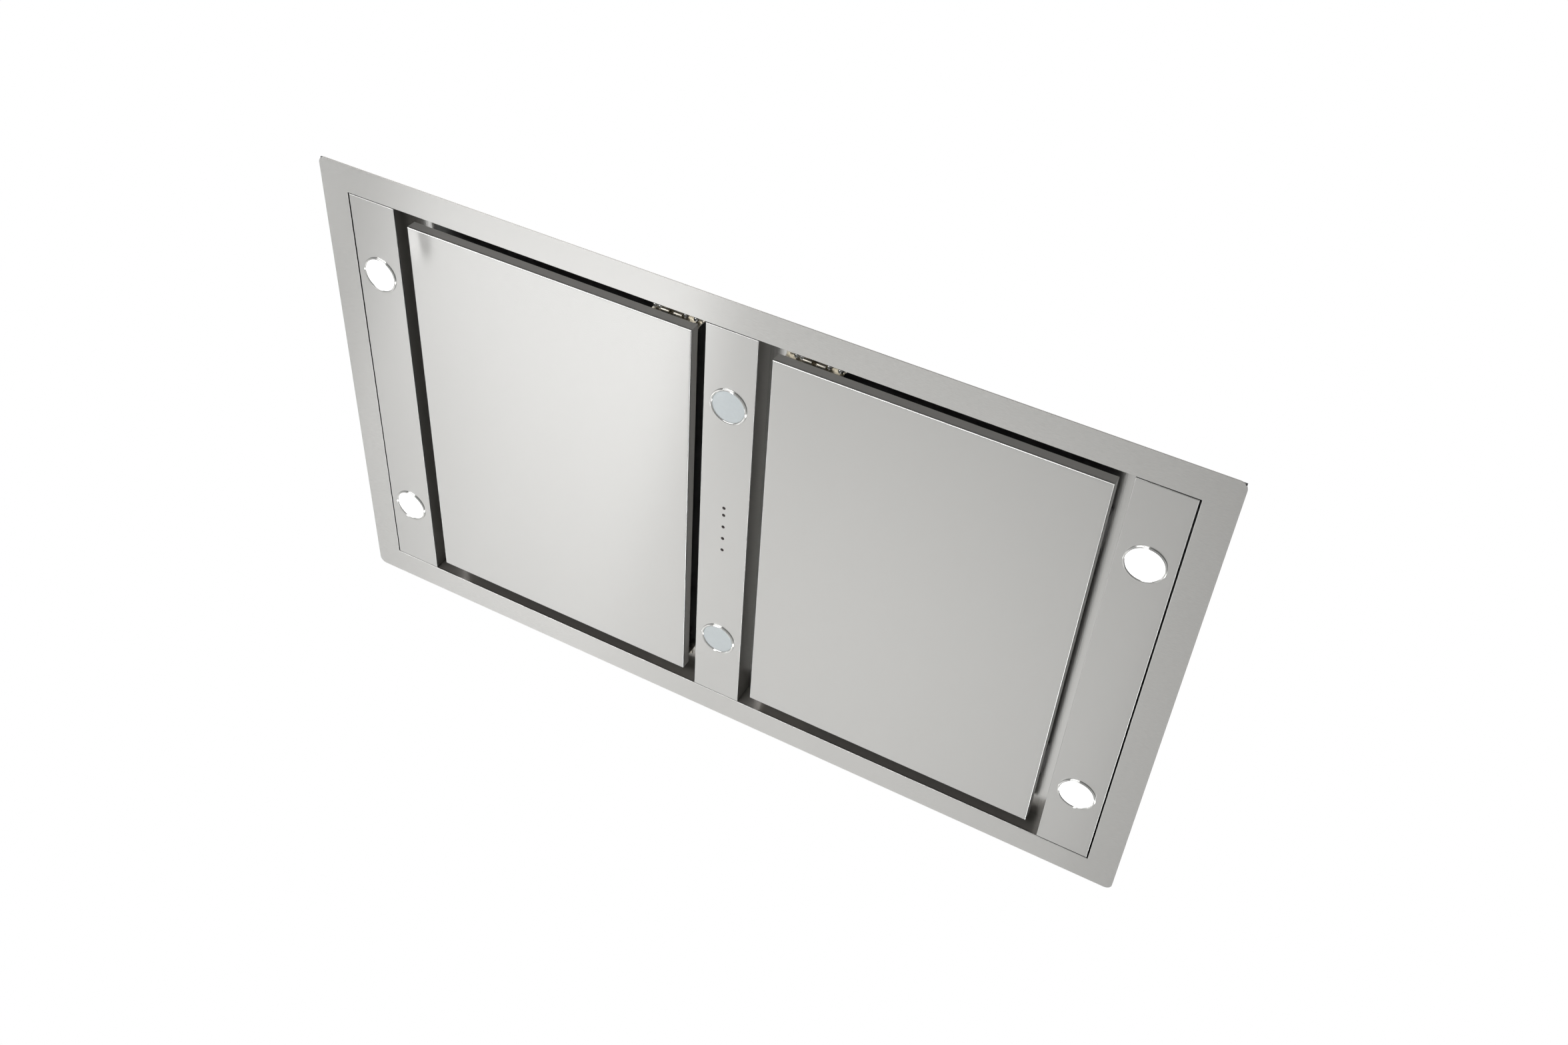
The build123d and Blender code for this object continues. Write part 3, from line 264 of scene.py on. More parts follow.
    def darken(self, value, shade):
        """Multiply the colour by a shade where the pattern is 1."""
        socket = self.shader.inputs["Base Color"]
        mix = self.tree.nodes.new("ShaderNodeMix")
        mix.data_type = "RGBA"
        mix.blend_type = "MULTIPLY"
        self.tree.links.new(socket.links[0].from_socket, mix.inputs["A"])
        mix.inputs["B"].default_value = (*shade, 1.0)
        self.tree.links.new(value, mix.inputs["Factor"])
        self.tree.links.new(mix.outputs["Result"], socket)

    def rough(self, value):
        """Let a pattern drive the roughness."""
        self.tree.links.new(value, self.shader.inputs["Roughness"])

    def metal(self, value):
        """Let a pattern drive how metallic the surface is."""
        self.tree.links.new(value, self.shader.inputs["Metallic"])

    def bump(self, value, height):
        """Raise the surface by a pattern of so many metres, on top of any bump before it."""
        bump = self.tree.nodes.new("ShaderNodeBump")
        bump.inputs["Strength"].default_value = 1.0
        bump.inputs["Distance"].default_value = height
        self.tree.links.new(value, bump.inputs["Height"])
        if self.height is not None:
            self.tree.links.new(self.height, bump.inputs["Normal"])
        self.height = bump.outputs["Normal"]
        self.tree.links.new(self.height, self.shader.inputs["Normal"])


# The sheet's outside turns from its face into a side wall between these two heights.
fold_level = 0.0012
wall_level = 0.0035
wall_metallic = 0.45
# Painted shade for the side wall faces above the fold, standing in for the shade in the slots:
# darkest on the strips, lighter on the frame's collar and on the panels.
painted_wall_shade = (0.34, 0.33, 0.31)
painted_frame_wall_shade = (0.80, 0.785, 0.76)
scratch_roughness = 0.04


def brushed_steel(name, colour, roughness, along, depth, contrast, painted_walls=painted_wall_shade):
    """Steel with fine straight scratches; along holds the lumps a metre on X, Y and Z.

    The scratches stretch reflections across the grain, on Y, and leave them sharp along it, on X.
    Above the fold the sheet keeps its dull mill finish, less metallic, so its side wall scatters
    more of the light that falls on it; its colour there is darkened by a painted shade that stands
    for the shade in the slots and the recess.
    """
    finish = Finish(name, colour, metallic=1.0, roughness=roughness)
    grain = finish.noise(along, detail=4.0, roughness=0.65)
    finish.tint(finish.ranged(grain, 0.0, 1.0), 1.0 - contrast, 1.0 + contrast)
    folded_up = finish.level(fold_level, wall_level)
    # Painted shade: above the fold the colour is multiplied by the given wall shade.
    finish.darken(folded_up, painted_walls)
    finish.metal(finish.ranged(folded_up, 1.0, wall_metallic, start=0.0, end=1.0))
    finish.rough(finish.ranged(grain, roughness - scratch_roughness, roughness + scratch_roughness))
    finish.bump(grain, depth)
    finish.across_grain(direction=(0.0, 1.0, 0.0), amount=1.0)
    return finish


# Painted shade: every upright face of the frame, its outer edge among them, is darkened by its
# tilt, so the edge shows dark against the white around it.
painted_edge_shade = (0.40, 0.39, 0.38)
frame_steel = brushed_steel(
    "brushed_stainless", (0.72, 0.717, 0.708), roughness=0.21, along=(120.0, 1300.0, 1300.0),
    depth=0.00003, contrast=0.09, painted_walls=painted_frame_wall_shade,
)
frame_steel.darken(frame_steel.sideways(), painted_edge_shade)


def dress(finish, *nodes):
    """Give each named CAD piece its finish."""
    for node in nodes:
        for holder in hood[node].material_slots:
            holder.material = finish.material


dress(frame_steel, "ceiling_frame")


def mottled(name, colour, metallic, roughness, lumps, detail, shades, rough=None, relief=None):
    """A finish with one cloudy pattern of so many lumps a metre.

    The pattern shades the colour between two shares of itself. Where rough gives a range it also
    drives the roughness, and where relief gives a height in metres it raises the surface.
    """
    finish = Finish(name, colour, metallic, roughness)
    cloud = finish.noise(lumps, detail)
    finish.tint(finish.ranged(cloud, 0.0, 1.0), *shades)
    if rough is not None:
        finish.rough(finish.ranged(cloud, *rough))
    if relief is not None:
        finish.bump(cloud, relief)
    return finish


# A soft grey foam strip seals the flange's back against the ceiling.
foam = mottled("seal_foam", (0.25, 0.25, 0.26), metallic=0.0, roughness=0.95,
               lumps=900.0, detail=2.0, shades=(0.80, 1.15), relief=0.0006)
dress(foam, "ceiling_gasket")

# ---------------------------------------------------------------- housing
# The housing, its cover and its brackets are folded from galvanised sheet. Zinc crystals about
# eight millimetres wide show as a faint spangle, and the sheet is dull with a slight waviness.
crystals_per_metre = 120.0
spangle_shades = (0.86, 1.08)
spangle_rough = (0.36, 0.52)
waves_per_metre = 9.0
wave_height = 0.0008

zinc = Finish("galvanised_sheet", (0.60, 0.62, 0.63), metallic=0.9, roughness=0.42)
spangle = zinc.crystals(crystals_per_metre)
zinc.tint(zinc.ranged(spangle, 0.0, 1.0, start=0.0, end=1.0), *spangle_shades)
zinc.rough(zinc.ranged(spangle, *spangle_rough, start=0.0, end=1.0))
zinc.bump(zinc.noise(waves_per_metre, detail=1.0), wave_height)
dress(zinc, "housing_shell", "top_cover", "hanger_brackets", "motor_bracket", "blower_straps",
      "panel_back_left", "panel_back_right")

# ---------------------------------------------------------------- screws and bolts
# Zinc-plated fasteners: hexagon bolts with a pressed flange hold the cover and the brackets, and
# round-headed cross-recess screws hold the hinges and the catches to the ledges.
plated = mottled("plated_steel", (0.78, 0.77, 0.73), metallic=1.0, roughness=0.26,
                 lumps=160.0, detail=3.0, shades=(0.88, 1.06), rough=(0.20, 0.34))
plating_grains = 1500.0
plating_height = 0.00002
plated.bump(plated.noise(plating_grains, detail=1.0), plating_height)

weld_distance = 1e-6
needle_length = 1e-7
crease_angle = 38.0


def closed_surface(rows):
    """Join a grid of points, rows by turns, into faces that close round each row."""
    count, turns = rows.shape[:2]
    row, turn = np.meshgrid(np.arange(count - 1), np.arange(turns), indexing="ij")
    here, there = row * turns, (row + 1) * turns
    beside = (turn + 1) % turns
    faces = np.stack([here + turn, here + beside, there + beside, there + turn], axis=-1)
    return rows.reshape(-1, 3), faces.reshape(-1, 4)


def repeated(points, faces, places):
    """Copy one shape to each place, an array of offsets."""
    offsets = np.asarray(places, float)
    many = (points[None] + offsets[:, None]).reshape(-1, 3)
    shift = np.arange(len(offsets))[:, None, None] * len(points)
    return many, (faces[None] + shift).reshape(-1, faces.shape[1])


def keep_creases(piece):
    """Shade smooth, with every edge sharper than the crease angle kept crisp."""
    shape = bmesh.new()
    shape.from_mesh(piece.data)
    for edge in shape.edges:
        if len(edge.link_faces) == 2 and edge.calc_face_angle(0.0) > radians(crease_angle):
            edge.smooth = False
    shape.to_mesh(piece.data)
    shape.free()


def new_piece(name, points, faces, finish, body, slot, *nodes, smooth=True):
    """Make a piece from points and faces, seal its seams, and hand it to its body."""
    mesh = bpy.data.meshes.new(name)
    mesh.from_pydata(np.asarray(points).tolist(), [], np.asarray(faces).tolist())
    shape = bmesh.new()
    shape.from_mesh(mesh)
    bmesh.ops.remove_doubles(shape, verts=shape.verts, dist=weld_distance)
    bmesh.ops.dissolve_degenerate(shape, edges=shape.edges, dist=needle_length)
    bmesh.ops.recalc_face_normals(shape, faces=shape.faces)
    shape.to_mesh(mesh)
    shape.free()
    mesh.polygons.foreach_set("use_smooth", np.full(len(mesh.polygons), smooth))
    mesh.materials.append(finish.material)
    piece = bpy.data.objects.new(name, mesh)
    bpy.context.scene.collection.objects.link(piece)
    if smooth:
        keep_creases(piece)
    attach(piece, body)
    if nodes:
        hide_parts(*nodes)
    return piece


def solid_places(node):
    """The middle of each separate solid of a CAD node, as an array of points."""
    shape = bmesh.new()
    shape.from_mesh(hood[node].data)
    bmesh.ops.remove_doubles(shape, verts=shape.verts, dist=weld_distance)
    shape.verts.ensure_lookup_table()
    left = set(range(len(shape.verts)))
    middles = []
    while left:
        group, front = set(), [left.pop()]
        while front:
            index = front.pop()
            group.add(index)
            for edge in shape.verts[index].link_edges:
                other = edge.other_vert(shape.verts[index]).index
                if other in left:
                    left.remove(other)
                    front.append(other)
        corners = np.array([shape.verts[i].co for i in group])
        middles.append((corners.min(axis=0) + corners.max(axis=0)) / 2)
    shape.free()
    return np.array(sorted(middles, key=tuple))


# Levels of a pressed bolt head, as shares of its height.
flange_rim, flange_top = 0.12, 0.22
flats_foot, flats_top = 0.30, 0.86
chamfer_top = 0.97
dish_rim, dish_floor = 0.90, 0.86

# Radii of the same head, the first as a share of its flange and the others of its flats' distance.
flange_taper = 0.97
corner_cut = 1.03
crown_edge = 0.93
dish_edge = 0.72


def hexagon_head(flat, flange, height):
    """A bolt head: a round pressed flange, six flats that taper in at the top, and a dished crown.

    radius(angle) = flat / cos(angle folded into a sixth turn), rounded towards the crown.
    """
    turns = 48
    angle = np.arange(turns) * 2 * pi / turns
    folded = (angle + pi / 6) % (pi / 3) - pi / 6
    hexagon = flat / np.cos(folded)
    circle = np.ones(turns)
    outline = [
        (0.0 * circle, 0.0),
        (flange * circle, 0.0),
        (flange * circle, flange_rim),
        (flange_taper * flange * circle, flange_top),
        (hexagon, flats_foot),
        (hexagon, flats_top),
        (np.minimum(hexagon, corner_cut * flat), chamfer_top),
        (crown_edge * flat * circle, 1.0),
        (dish_edge * flat * circle, dish_rim),
        (0.0 * circle, dish_floor),
    ]
    rows = [np.stack([radius * np.cos(angle), radius * np.sin(angle), share * height * circle], -1)
            for radius, share in outline]
    return closed_surface(np.array(rows))


def seats(node):
    """Where each head of a node's bolts sits: the middle of the solid, on its lowest level."""
    places = solid_places(node)
    places[:, 2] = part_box(node)[0][2]
    return places


for name, node, flat, flange, height in (
    ("cover_bolts", "cover_screws", 0.0030, 0.0042, 0.0022),
    ("bracket_bolts", "hanger_bolts", 0.0040, 0.0058, 0.0030),
):
    points, faces = hexagon_head(flat, flange, height)
    new_piece(name, *repeated(points, faces, seats(node)), plated, "hood", "plated_steel", node)

screw_radius = 0.0036
screw_height = 0.0044


def cross_head(radius, height):
    """A round screw head that faces down: a dome on a straight rim, with a cross pressed into it.

    depth = height * (rim + (1 - rim) * sqrt(1 - (r / R)^2)), less the recess inside two crossed
    slots. Each slot is 1 within its half width and reach, and fades to 0 over the blur.
    """
    turns, rings = 32, 12
    rim = 0.35
    half_width, reach, blur = 0.16 * radius, 0.55 * radius, 0.1 * radius
    recess = 0.45 * height

    def slot(across, along):
        within = np.clip((half_width - across) / blur + 0.5, 0, 1)
        return within * np.clip((reach - along) / blur, 0, 1)

    angle = np.arange(turns) * 2 * pi / turns
    r, a = np.meshgrid(radius * np.linspace(0.0, 1.0, rings), angle, indexing="ij")
    x, y = r * np.cos(a), r * np.sin(a)
    dome = height * (rim + (1 - rim) * np.sqrt(np.clip(1 - (r / radius) ** 2, 0, 1)))
    cross = np.maximum(slot(np.abs(x), np.abs(y)), slot(np.abs(y), np.abs(x)))
    face = np.stack([x, y, recess * cross - dome], -1)
    foot = np.stack([radius * np.cos(angle), radius * np.sin(angle), 0 * angle], -1)
    return closed_surface(np.concatenate([face, foot[None], 0 * foot[None]]))


# The screw heads hang from the ledges, so each one's foot is at the top of its solid.
screw_places = solid_places("ledge_screws")
screw_places[:, 2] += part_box("ledge_screws")[1][2] - screw_places[:, 2].max()
bright = mottled("bright_zinc", (0.88, 0.88, 0.87), metallic=1.0, roughness=0.14,
                 lumps=700.0, detail=2.0, shades=(0.94, 1.04), rough=(0.10, 0.20))
points, faces = cross_head(screw_radius, screw_height)
new_piece("ledge_cross_screws", *repeated(points, faces, screw_places), bright,
          "hood", "plated_steel", "ledge_screws")

dress(plated, "hinge_leaves_left", "hinge_leaves_right", "hinge_pins",
      "striker_plates_left", "striker_plates_right")

# The fixed half of each hinge is pressed from yellowish zinc-plated sheet. Its two lips are rolled
# to a slope beside a notch, and stand out bright in the slot.
passivated = mottled("passivated_zinc", (0.80, 0.76, 0.67), metallic=1.0, roughness=0.38,
                     lumps=120.0, detail=3.0, shades=(0.90, 1.06), rough=(0.33, 0.43))
dress(passivated, "hinge_brackets_left", "hinge_brackets_right")

# A lip's lower and outer edges are (distance from the hood's long middle line, height) pairs.
lip_lower = (0.2861, 0.0231)
lip_outer = (0.2887, 0.0257)
lip_top = 0.0266
lip_bow = 0.0004
lip_chamfer = 0.0003
lip_end_share = 0.93
lip_length = 0.011
lip_pitch = 0.018
lip_middles = (-0.0959, 0.0963)


def lip_bar(side):
    """A rolled lip: one section in Y and Z, bowed between its lower and outer edges, along X."""
    share = np.linspace(0.0, 1.0, 7)
    bow = lip_bow * np.sin(pi * share)
    y = lip_lower[0] + (lip_outer[0] - lip_lower[0]) * share + bow
    z = lip_lower[1] + (lip_outer[1] - lip_lower[1]) * share - bow
    across = np.append(y, [lip_outer[0], lip_lower[0]]) * side
    section = np.stack([across, np.append(z, [lip_top, lip_top])], -1)
    middle = section.mean(axis=0)
    half = lip_length / 2
    rows = [(-half, 0.0), (-half, lip_end_share), (lip_chamfer - half, 1.0)]
    rows += [(half - lip_chamfer, 1.0), (half, lip_end_share), (half, 0.0)]
    bar = [np.stack([np.full(len(section), x), *(middle + (section - middle) * size).T], -1)
           for x, size in rows]
    return closed_surface(np.array(bar))


for name, side in (("front", -1.0), ("back", 1.0)):
    points, faces = lip_bar(side)
    lips = [(middle + end * lip_pitch / 2, 0.0, 0.0) for middle in lip_middles for end in (-1, 1)]
    new_piece(f"hinge_lips_{name}", *repeated(points, faces, lips), passivated,
              "hood", "plated_steel")

# ---------------------------------------------------------------- strips, ledges and panels
# The strips and panels are folded from a finer satin steel than the frame, its faint grain along
# the hood's long side. The recess ledges are cut from four lengths that meet in mitres.
satin_colour = (0.705, 0.703, 0.696)
satin_roughness = 0.20
satin_grain = (90.0, 2600.0, 2600.0)
satin_depth = 0.000002
satin_contrast = 0.015
# Painted shade for the panels' side wall faces, lighter than the strips'.
painted_panel_wall_shade = (0.88, 0.87, 0.85)


def satin_steel(name, painted_walls=painted_wall_shade):
    """The satin steel of the strips and the panels, which differ only in the painted shade on their
    side wall faces.
    """
    return brushed_steel(
        name, satin_colour, satin_roughness, satin_grain, satin_depth, satin_contrast, painted_walls
    )


satin_stainless = satin_steel("satin_stainless")
dress(satin_stainless, "light_strip_left", "light_strip_centre", "light_strip_right")

dent_inset = (0.017, 0.013)
dent_stretch = 0.55
dent_spread = 0.013
dent_depth = 0.0008


def dented(finish, corner):
    """Press a shallow dent into the sheet beside a corner, as a bump.

    depth falls off as exp(-(x^2 + (stretch * y)^2) / spread^2) from the dent's middle.
    """
    x = finish.math("SUBTRACT", finish.axis("X"), corner[0] + dent_inset[0])
    y = finish.math("SUBTRACT", finish.axis("Y"), corner[1] + dent_inset[1])
    y = finish.math("MULTIPLY", y, dent_stretch)
    square = finish.math("ADD", finish.math("MULTIPLY", x, x), finish.math("MULTIPLY", y, y))
    bell = finish.math("EXPONENT", finish.math("MULTIPLY", square, -1.0 / dent_spread ** 2))
    finish.bump(finish.math("MULTIPLY", bell, -1.0), dent_depth)


for side in ("left", "right"):
    panel_steel = satin_steel(f"panel_steel_{side}", painted_panel_wall_shade)
    if side == "left":
        dented(panel_steel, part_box("panel_skin_left")[0])
    dress(panel_steel, f"panel_skin_{side}")
dress(satin_stainless, "filter_latch_left", "filter_latch_right")

# The mitres run in from the corners of the recess, which is this wide on Y.
opening_width = 0.620
mitre_width = 0.0006
ledge_shades = (0.92, 1.05)
ledge_rough = (0.18, 0.26)
ledge_depth = 0.00003
grain_along = 14.0
grain_across = 1300.0


def ledge_steel(name, side):
    """Satin steel whose grain turns at the mitres, with a dark line along each joint."""
    finish = Finish(name, satin_colour, metallic=1.0, roughness=0.22)
    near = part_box("light_strip_centre")[1][0]
    far = min(abs(corner[0]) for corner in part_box(f"light_strip_{side}"))
    middle = (near + far) / 2 * (1 if side == "right" else -1)
    from_x = finish.math("ABSOLUTE", finish.math("SUBTRACT", finish.axis("X"), middle))
    from_y = finish.math("ABSOLUTE", finish.axis("Y"))
    in_x = finish.math("SUBTRACT", from_x, (far - near) / 2)
    in_y = finish.math("SUBTRACT", from_y, opening_width / 2)
    from_mitre = finish.math("SUBTRACT", in_x, in_y)
    on_long_side = finish.math("LESS_THAN", from_mitre, 0.0)
    joint = finish.math("LESS_THAN", finish.math("ABSOLUTE", from_mitre), mitre_width)
    turned_grain = finish.tree.nodes.new("ShaderNodeMix")
    finish.tree.links.new(on_long_side, turned_grain.inputs["Factor"])
    for socket, lumps in (
        ("A", (grain_across, grain_along, grain_across)),
        ("B", (grain_along, grain_across, grain_across)),
    ):
        finish.tree.links.new(finish.noise(lumps, detail=4.0), turned_grain.inputs[socket])
    grain = turned_grain.outputs["Result"]
    finish.tint(finish.math("SUBTRACT", finish.ranged(grain, 0.0, 1.0), joint), *ledge_shades)
    finish.rough(finish.ranged(grain, *ledge_rough))
    finish.bump(grain, ledge_depth)
    return finish


for side in ("left", "right"):
    dress(ledge_steel(f"ledge_steel_{side}", side), f"filter_tray_{side}")

# ---------------------------------------------------------------- lamps
# Six round downlights. Each has a turned and chromed ring round a crowned glass, frosted inside.
# The four outer ones are lit, and the two in the centre strip are off.
chrome = mottled("polished_chrome", (0.86, 0.86, 0.85), metallic=1.0, roughness=0.08,
                 lumps=400.0, detail=3.0, shades=(0.97, 1.03), rough=(0.05, 0.12))

lamp_places = solid_places("lamp_bezels")
lamp_places[:, 2] = 0.0


def turned(outline, turns):
    """Turn an outline of (radius, height) pairs about Z: x = r cos a, y = r sin a."""
    radius, height = np.array(outline).T
    angle = np.arange(turns) * 2 * pi / turns
    x, y = np.outer(radius, np.cos(angle)), np.outer(radius, np.sin(angle))
    return closed_surface(np.stack([x, y, np.outer(height, np.ones(turns))], axis=-1))


glass_radius = 0.0222
glass_play = 0.0001
ring_inner = glass_radius + glass_play
ring_outer = 0.0255
ring_height = 0.0019
shoulder_radius = 0.0009

# The ring's face, as (distance in from its outside, share of its height) pairs round a groove, and
# its bevel to the glass, as (distance out from its inside, share of its height) pairs.
ring_groove = ((0.0013, 1.0), (0.0016, 0.78), (0.0019, 0.95), (0.0023, 0.95))
ring_bevel = ((0.0004, 0.75), (0.0, 0.45), (0.0, 0.0))


def ring_outline():
    """The ring's section: a rounded shoulder outside, a shallow groove and a bevel to the glass."""
    outline = [
        (ring_outer - shoulder_radius * (1 - np.cos(angle)), -ring_height * np.sin(angle))
        for angle in np.linspace(0.0, pi / 2, 9)
    ]
    outline += [(ring_outer - inset, -ring_height * share) for inset, share in ring_groove]
    outline += [(ring_inner + outset, -ring_height * share) for outset, share in ring_bevel]
    return outline + outline[:1]


points, faces = turned(ring_outline(), turns=96)
new_piece("lamp_rings", *repeated(points, faces, lamp_places), chrome,
          "hood", "polished_chrome", "lamp_bezels")

# The glass's crowned face ends at a share of its radius, and two steps round it off to its side.
glass_front = -0.0007
glass_back = -0.0001
glass_crown = 0.0005
crown_end = 0.97
rim_end = 0.99
rim_steps = (0.0001, 0.0003)


def glass_outline():
    """A crowned glass, its rim rounded and its back flat.

    height = front - crown * (1 - (r / R)^2) out to the crown's end.
    """
    outline = [
        (crown_end * glass_radius * share, glass_front - glass_crown * (1 - share * share))
        for share in np.linspace(0.0, 1.0, 14)
    ]
    outline.append((rim_end * glass_radius, glass_front + rim_steps[0]))
    outline.append((glass_radius, glass_front + rim_steps[1]))
    return outline + [(glass_radius, glass_back), (0.0, glass_back)]


glow = 1.6
pearl_rough = (0.3, 0.4)
pearl_height = 0.00003
lit_glass = Finish("lit_glass", (0.95, 0.97, 1.0), metallic=0.0, roughness=0.35)
lit_glass.shader.inputs["Emission Color"].default_value = white
lit_glass.shader.inputs["Emission Strength"].default_value = glow
lit_pearl = lit_glass.noise(300.0, detail=2.0)
lit_glass.bump(lit_pearl, pearl_height)
lit_glass.rough(lit_glass.ranged(lit_pearl, *pearl_rough))

coat_weight = 0.6
coat_roughness = 0.08
frosted = mottled("frosted_glass", (0.85, 0.92, 0.95), metallic=0.0, roughness=0.4,
                  lumps=260.0, detail=3.0, shades=(0.985, 1.015), rough=(0.32, 0.48),
                  relief=0.00004)
frosted.shader.inputs["Coat Weight"].default_value = coat_weight
frosted.shader.inputs["Coat Roughness"].default_value = coat_roughness

points, faces = turned(glass_outline(), turns=72)
in_centre = np.abs(lamp_places[:, 0]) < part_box("light_strip_centre")[1][0]
new_piece("lit_lamp_glasses", *repeated(points, faces, lamp_places[~in_centre]), lit_glass,
          "hood", "frosted_glass", "lamp_lenses_outer")
new_piece("unlit_lamp_glasses", *repeated(points, faces, lamp_places[in_centre]), frosted,
          "hood", "frosted_glass", "lamp_lenses_centre")

cast = mottled("lamp_aluminium", (0.60, 0.60, 0.62), metallic=0.9, roughness=0.5,
               lumps=700.0, detail=3.0, shades=(0.85, 1.10), relief=0.0001)
dress(cast, "lamp_bodies")

# ---------------------------------------------------------------- indicators
# Five small holes in the centre strip, each closed by a round window of very dark red plastic that
# lets the receiver's lights through. The window snaps in, and its shallow dome covers the hole.
smoked = mottled("smoked_plastic", (0.020, 0.004, 0.004), metallic=0.0, roughness=0.2,
                 lumps=500.0, detail=2.0, shades=(0.8, 1.3), rough=(0.14, 0.26))
dress(smoked, "indicator_bar")

indicator_y = (-0.038, -0.026, -0.006, 0.014, 0.034)
window_radius = 0.0026
window_seat = 0.0002
window_rise = 0.0007


def window_outline():
    """A shallow dome that faces down from its seat: height = seat - rise * sqrt(1 - (r / R)^2)."""
    outline = [
        (window_radius * share, window_seat - window_rise * np.sqrt(1 - share * share))
        for share in np.linspace(0.0, 1.0, 10)
    ]
    return outline + [(0.0, window_seat)]


points, faces = turned(window_outline(), turns=32)
new_piece("indicator_windows", *repeated(points, faces, [(0.0, y, 0.0) for y in indicator_y]),
          smoked, "hood", "smoked_plastic")

board = mottled("board_laminate", (0.05, 0.25, 0.12), metallic=0.0, roughness=0.4,
                lumps=(900.0, 900.0, 60.0), detail=2.0, shades=(0.75, 1.25), relief=0.00005)
dress(board, "receiver_board", "control_board")

# ---------------------------------------------------------------- grease filters
# Each filter is an aluminium frame with a pad of expanded-metal layers in its groove, held by two
# tongues on one side and a sprung bolt on the other.
aluminium = mottled("filter_aluminium", (0.72, 0.72, 0.72), metallic=1.0, roughness=0.36,
                    lumps=(900.0, 20.0, 900.0), detail=4.0, shades=(0.93, 1.06),
                    rough=(0.31, 0.41), relief=0.00003)
dress(aluminium, "filter_frame_left", "filter_frame_right")

spring = mottled("spring_steel", (0.55, 0.56, 0.58), metallic=1.0, roughness=0.3,
                 lumps=(30.0, 900.0, 900.0), detail=3.0, shades=(0.85, 1.05), rough=(0.24, 0.38))
dress(spring, "motor_shaft", "damper_pin")


def latch_spring(side):
    """The bowed leaf behind a filter's bolt, as a piece with a mesh of its own on the hood's body;
    nothing here flattens it as the bolt draws back.
    """
    node = f"latch_spring_{side}"
    leaf = hood[node].data
    points = np.array([tuple(vertex.co) for vertex in leaf.vertices])
    faces = np.array([tuple(face.vertices) for face in leaf.polygons])
    piece = new_piece(f"bowed_spring_{side}", points, faces, spring, "hood", "spring_steel", node)
    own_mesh(piece)


for side in ("left", "right"):
    latch_spring(side)

mesh_metal = mottled("mesh_aluminium", (0.66, 0.66, 0.66), metallic=0.95, roughness=0.38,
                     lumps=420.0, detail=2.0, shades=(0.80, 1.10), rough=(0.30, 0.46))

diamond_length = 0.0100
diamond_height = 0.0056
strand_width = 0.0011
strand_depth = 0.0009
second_layer = 2.2 * strand_depth
core_front = 3.2 * strand_depth
core_back = 1.6 * strand_depth


def joined(shapes):
    """Several shapes as one: their points in turn, and their faces counted on to match."""
    counts = [len(points) for points, faces in shapes]
    starts = np.cumsum([0] + counts[:-1])
    all_faces = [faces + start for (points, faces), start in zip(shapes, starts)]
    return np.concatenate([points for points, faces in shapes]), np.concatenate(all_faces)


def expanded_layer(low, high, level, offset):
    """One layer of expanded metal: zigzag strands, each a square bar along the row.

    y = row * pitch + (pitch - strand) / 2 * triangle(x), and every second row is mirrored so that
    the strands touch.
    """
    steps = int((high[0] - low[0]) / (diamond_length / 2))
    rows = int((high[1] - low[1]) / diamond_height) - 1
    x = low[0] + (high[0] - low[0]) * np.arange(steps + 1) / steps
    zigzag = np.where(np.arange(steps + 1) % 2 == 0, 1.0, -1.0)
    half_w, half_d = strand_width / 2, strand_depth / 2
    section = np.array([(-half_w, -half_d), (half_w, -half_d), (half_w, half_d), (-half_w, half_d)])
    section = np.concatenate([np.zeros((4, 1)), section], axis=1)
    strands = []
    for row in range(rows):
        swing = (1.0 if row % 2 == 0 else -1.0) * zigzag * (diamond_height / 2 - half_w)
        y = low[1] + (row + 1) * diamond_height + offset + swing
        line = np.stack([x, y, np.full_like(x, level)], -1)[:, None]
        ends = np.repeat(line[[0, -1]], len(section), axis=1)
        strands.append(closed_surface(np.concatenate([ends[:1], line + section, ends[1:]])))
    return joined(strands)


def slab(low, high):
    """A closed box from its lowest to its highest corner."""
    x, y, z = zip(low, high)
    points = np.array([(x[i], y[j], z[k]) for i in (0, 1) for j in (0, 1) for k in (0, 1)])
    faces = [(0, 1, 3, 2), (4, 6, 7, 5), (0, 4, 5, 1), (2, 3, 7, 6), (0, 2, 6, 4), (1, 5, 7, 3)]
    return points, np.array(faces)


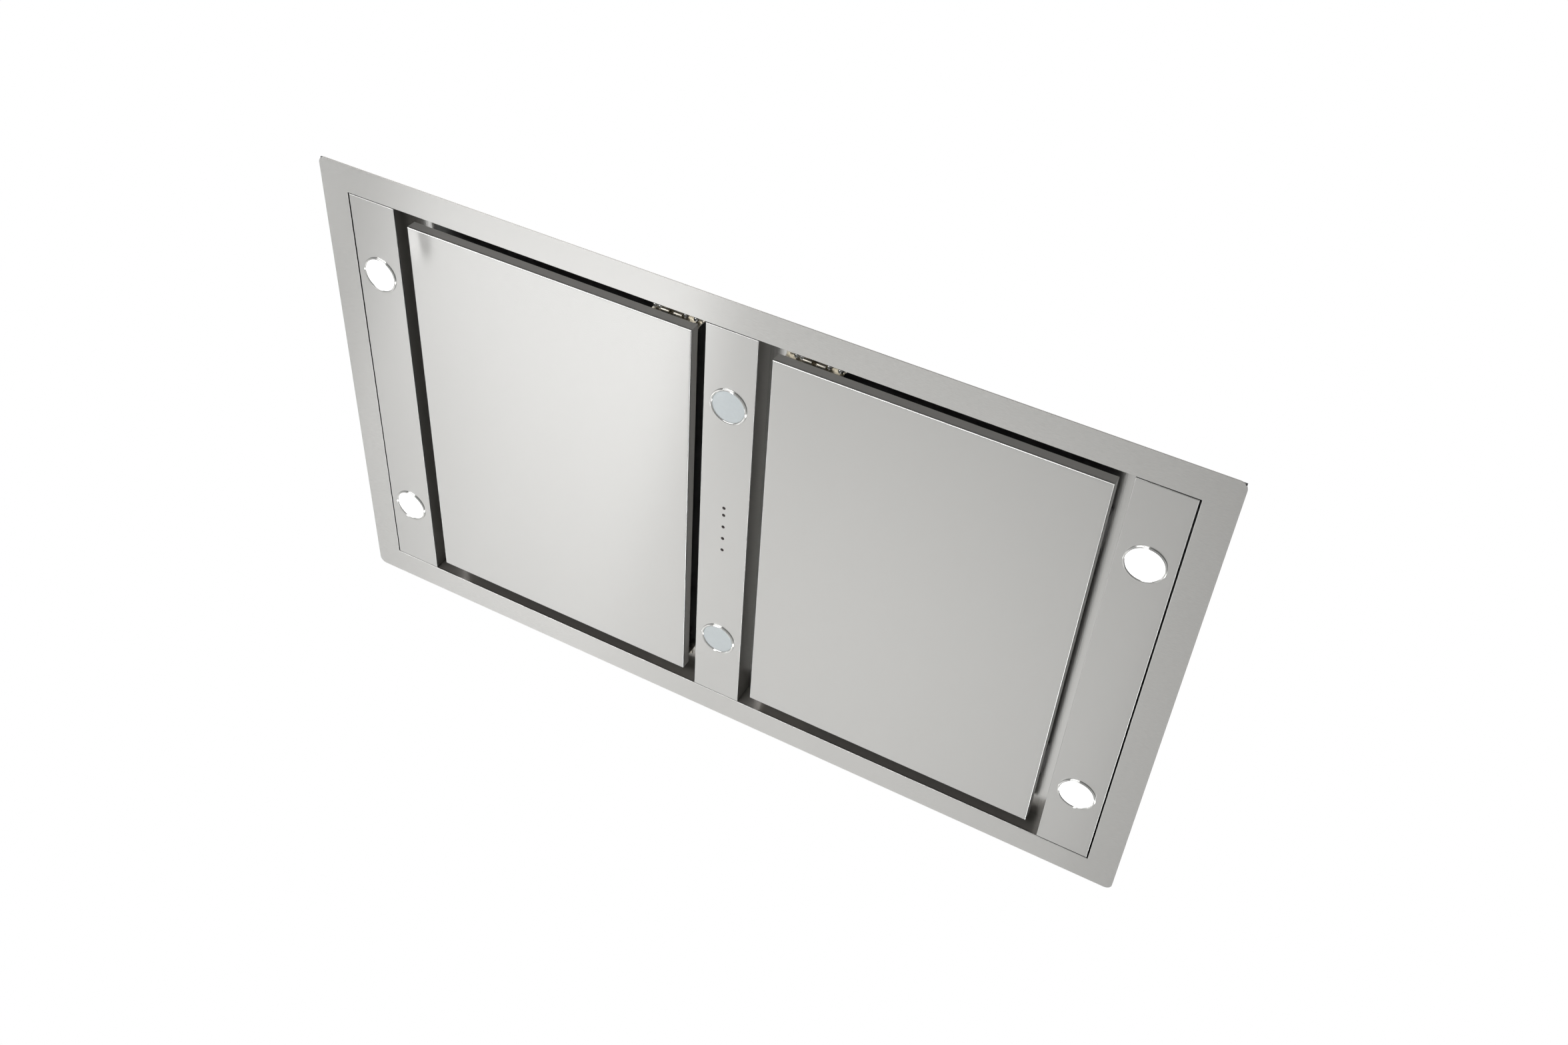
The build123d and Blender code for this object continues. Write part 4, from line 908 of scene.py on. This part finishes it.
def filter_pad(side):
    """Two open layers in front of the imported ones, which read as a dark slab, and one behind."""
    low, high = (np.array(corner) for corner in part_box(f"filter_mesh_{side}"))
    pad = joined([
        expanded_layer(low, high, low[2] + strand_depth / 2, 0.0),
        expanded_layer(low, high, low[2] + second_layer, diamond_height / 2),
        expanded_layer(low, high, high[2] - strand_depth / 2, 0.0),
        slab(low + (0, 0, core_front), high - (0, 0, core_back)),
    ])
    new_piece(f"filter_pad_{side}", *pad, mesh_metal, "hood", "mesh_aluminium",
              f"filter_mesh_{side}", smooth=False)


for side in ("left", "right"):
    filter_pad(side)

# ---------------------------------------------------------------- blower and plastics
# The scroll and wheel are moulded in grey plastic, the motor is enamelled black, and the outlet,
# its flaps and the boxes are moulded plastic with a fine eroded texture.
clouds_per_metre = 14.0
cloud_shades = (0.92, 1.08)
eroded_roughness = 0.08
eroded_depth = 0.00006


def moulded(name, colour, roughness, lumps=1400.0):
    """Moulded plastic: an eroded texture, and a colour that is slightly cloudy."""
    finish = Finish(name, colour, metallic=0.0, roughness=roughness)
    texture = finish.noise(lumps, detail=2.0)
    cloud = finish.noise(clouds_per_metre)
    finish.tint(finish.ranged(cloud, 0.0, 1.0), *cloud_shades)
    finish.rough(finish.ranged(texture, roughness - eroded_roughness, roughness + eroded_roughness))
    finish.bump(texture, eroded_depth)
    return finish


grey_plastic = moulded("grey_plastic", (0.50, 0.51, 0.52), roughness=0.5)
black_plastic = moulded("black_plastic", (0.035, 0.035, 0.038), roughness=0.42)
white_plastic = moulded("white_plastic", (0.80, 0.80, 0.79), roughness=0.45)
rubber = moulded("mount_rubber", (0.045, 0.045, 0.045), roughness=0.8, lumps=500.0)
enamel = moulded("motor_enamel", (0.09, 0.09, 0.10), roughness=0.35, lumps=200.0)

dress(grey_plastic, "scroll_left", "scroll_right", "impeller")
dress(black_plastic, "outlet_adaptor", "outlet_spigot", "damper_flap_front", "damper_flap_back",
      "terminal_box", "cable_gland", "magnet_catches")
dress(white_plastic, "control_box", "control_lid", "lamp_driver")
dress(rubber, "rubber_mounts")
dress(enamel, "motor_housing")
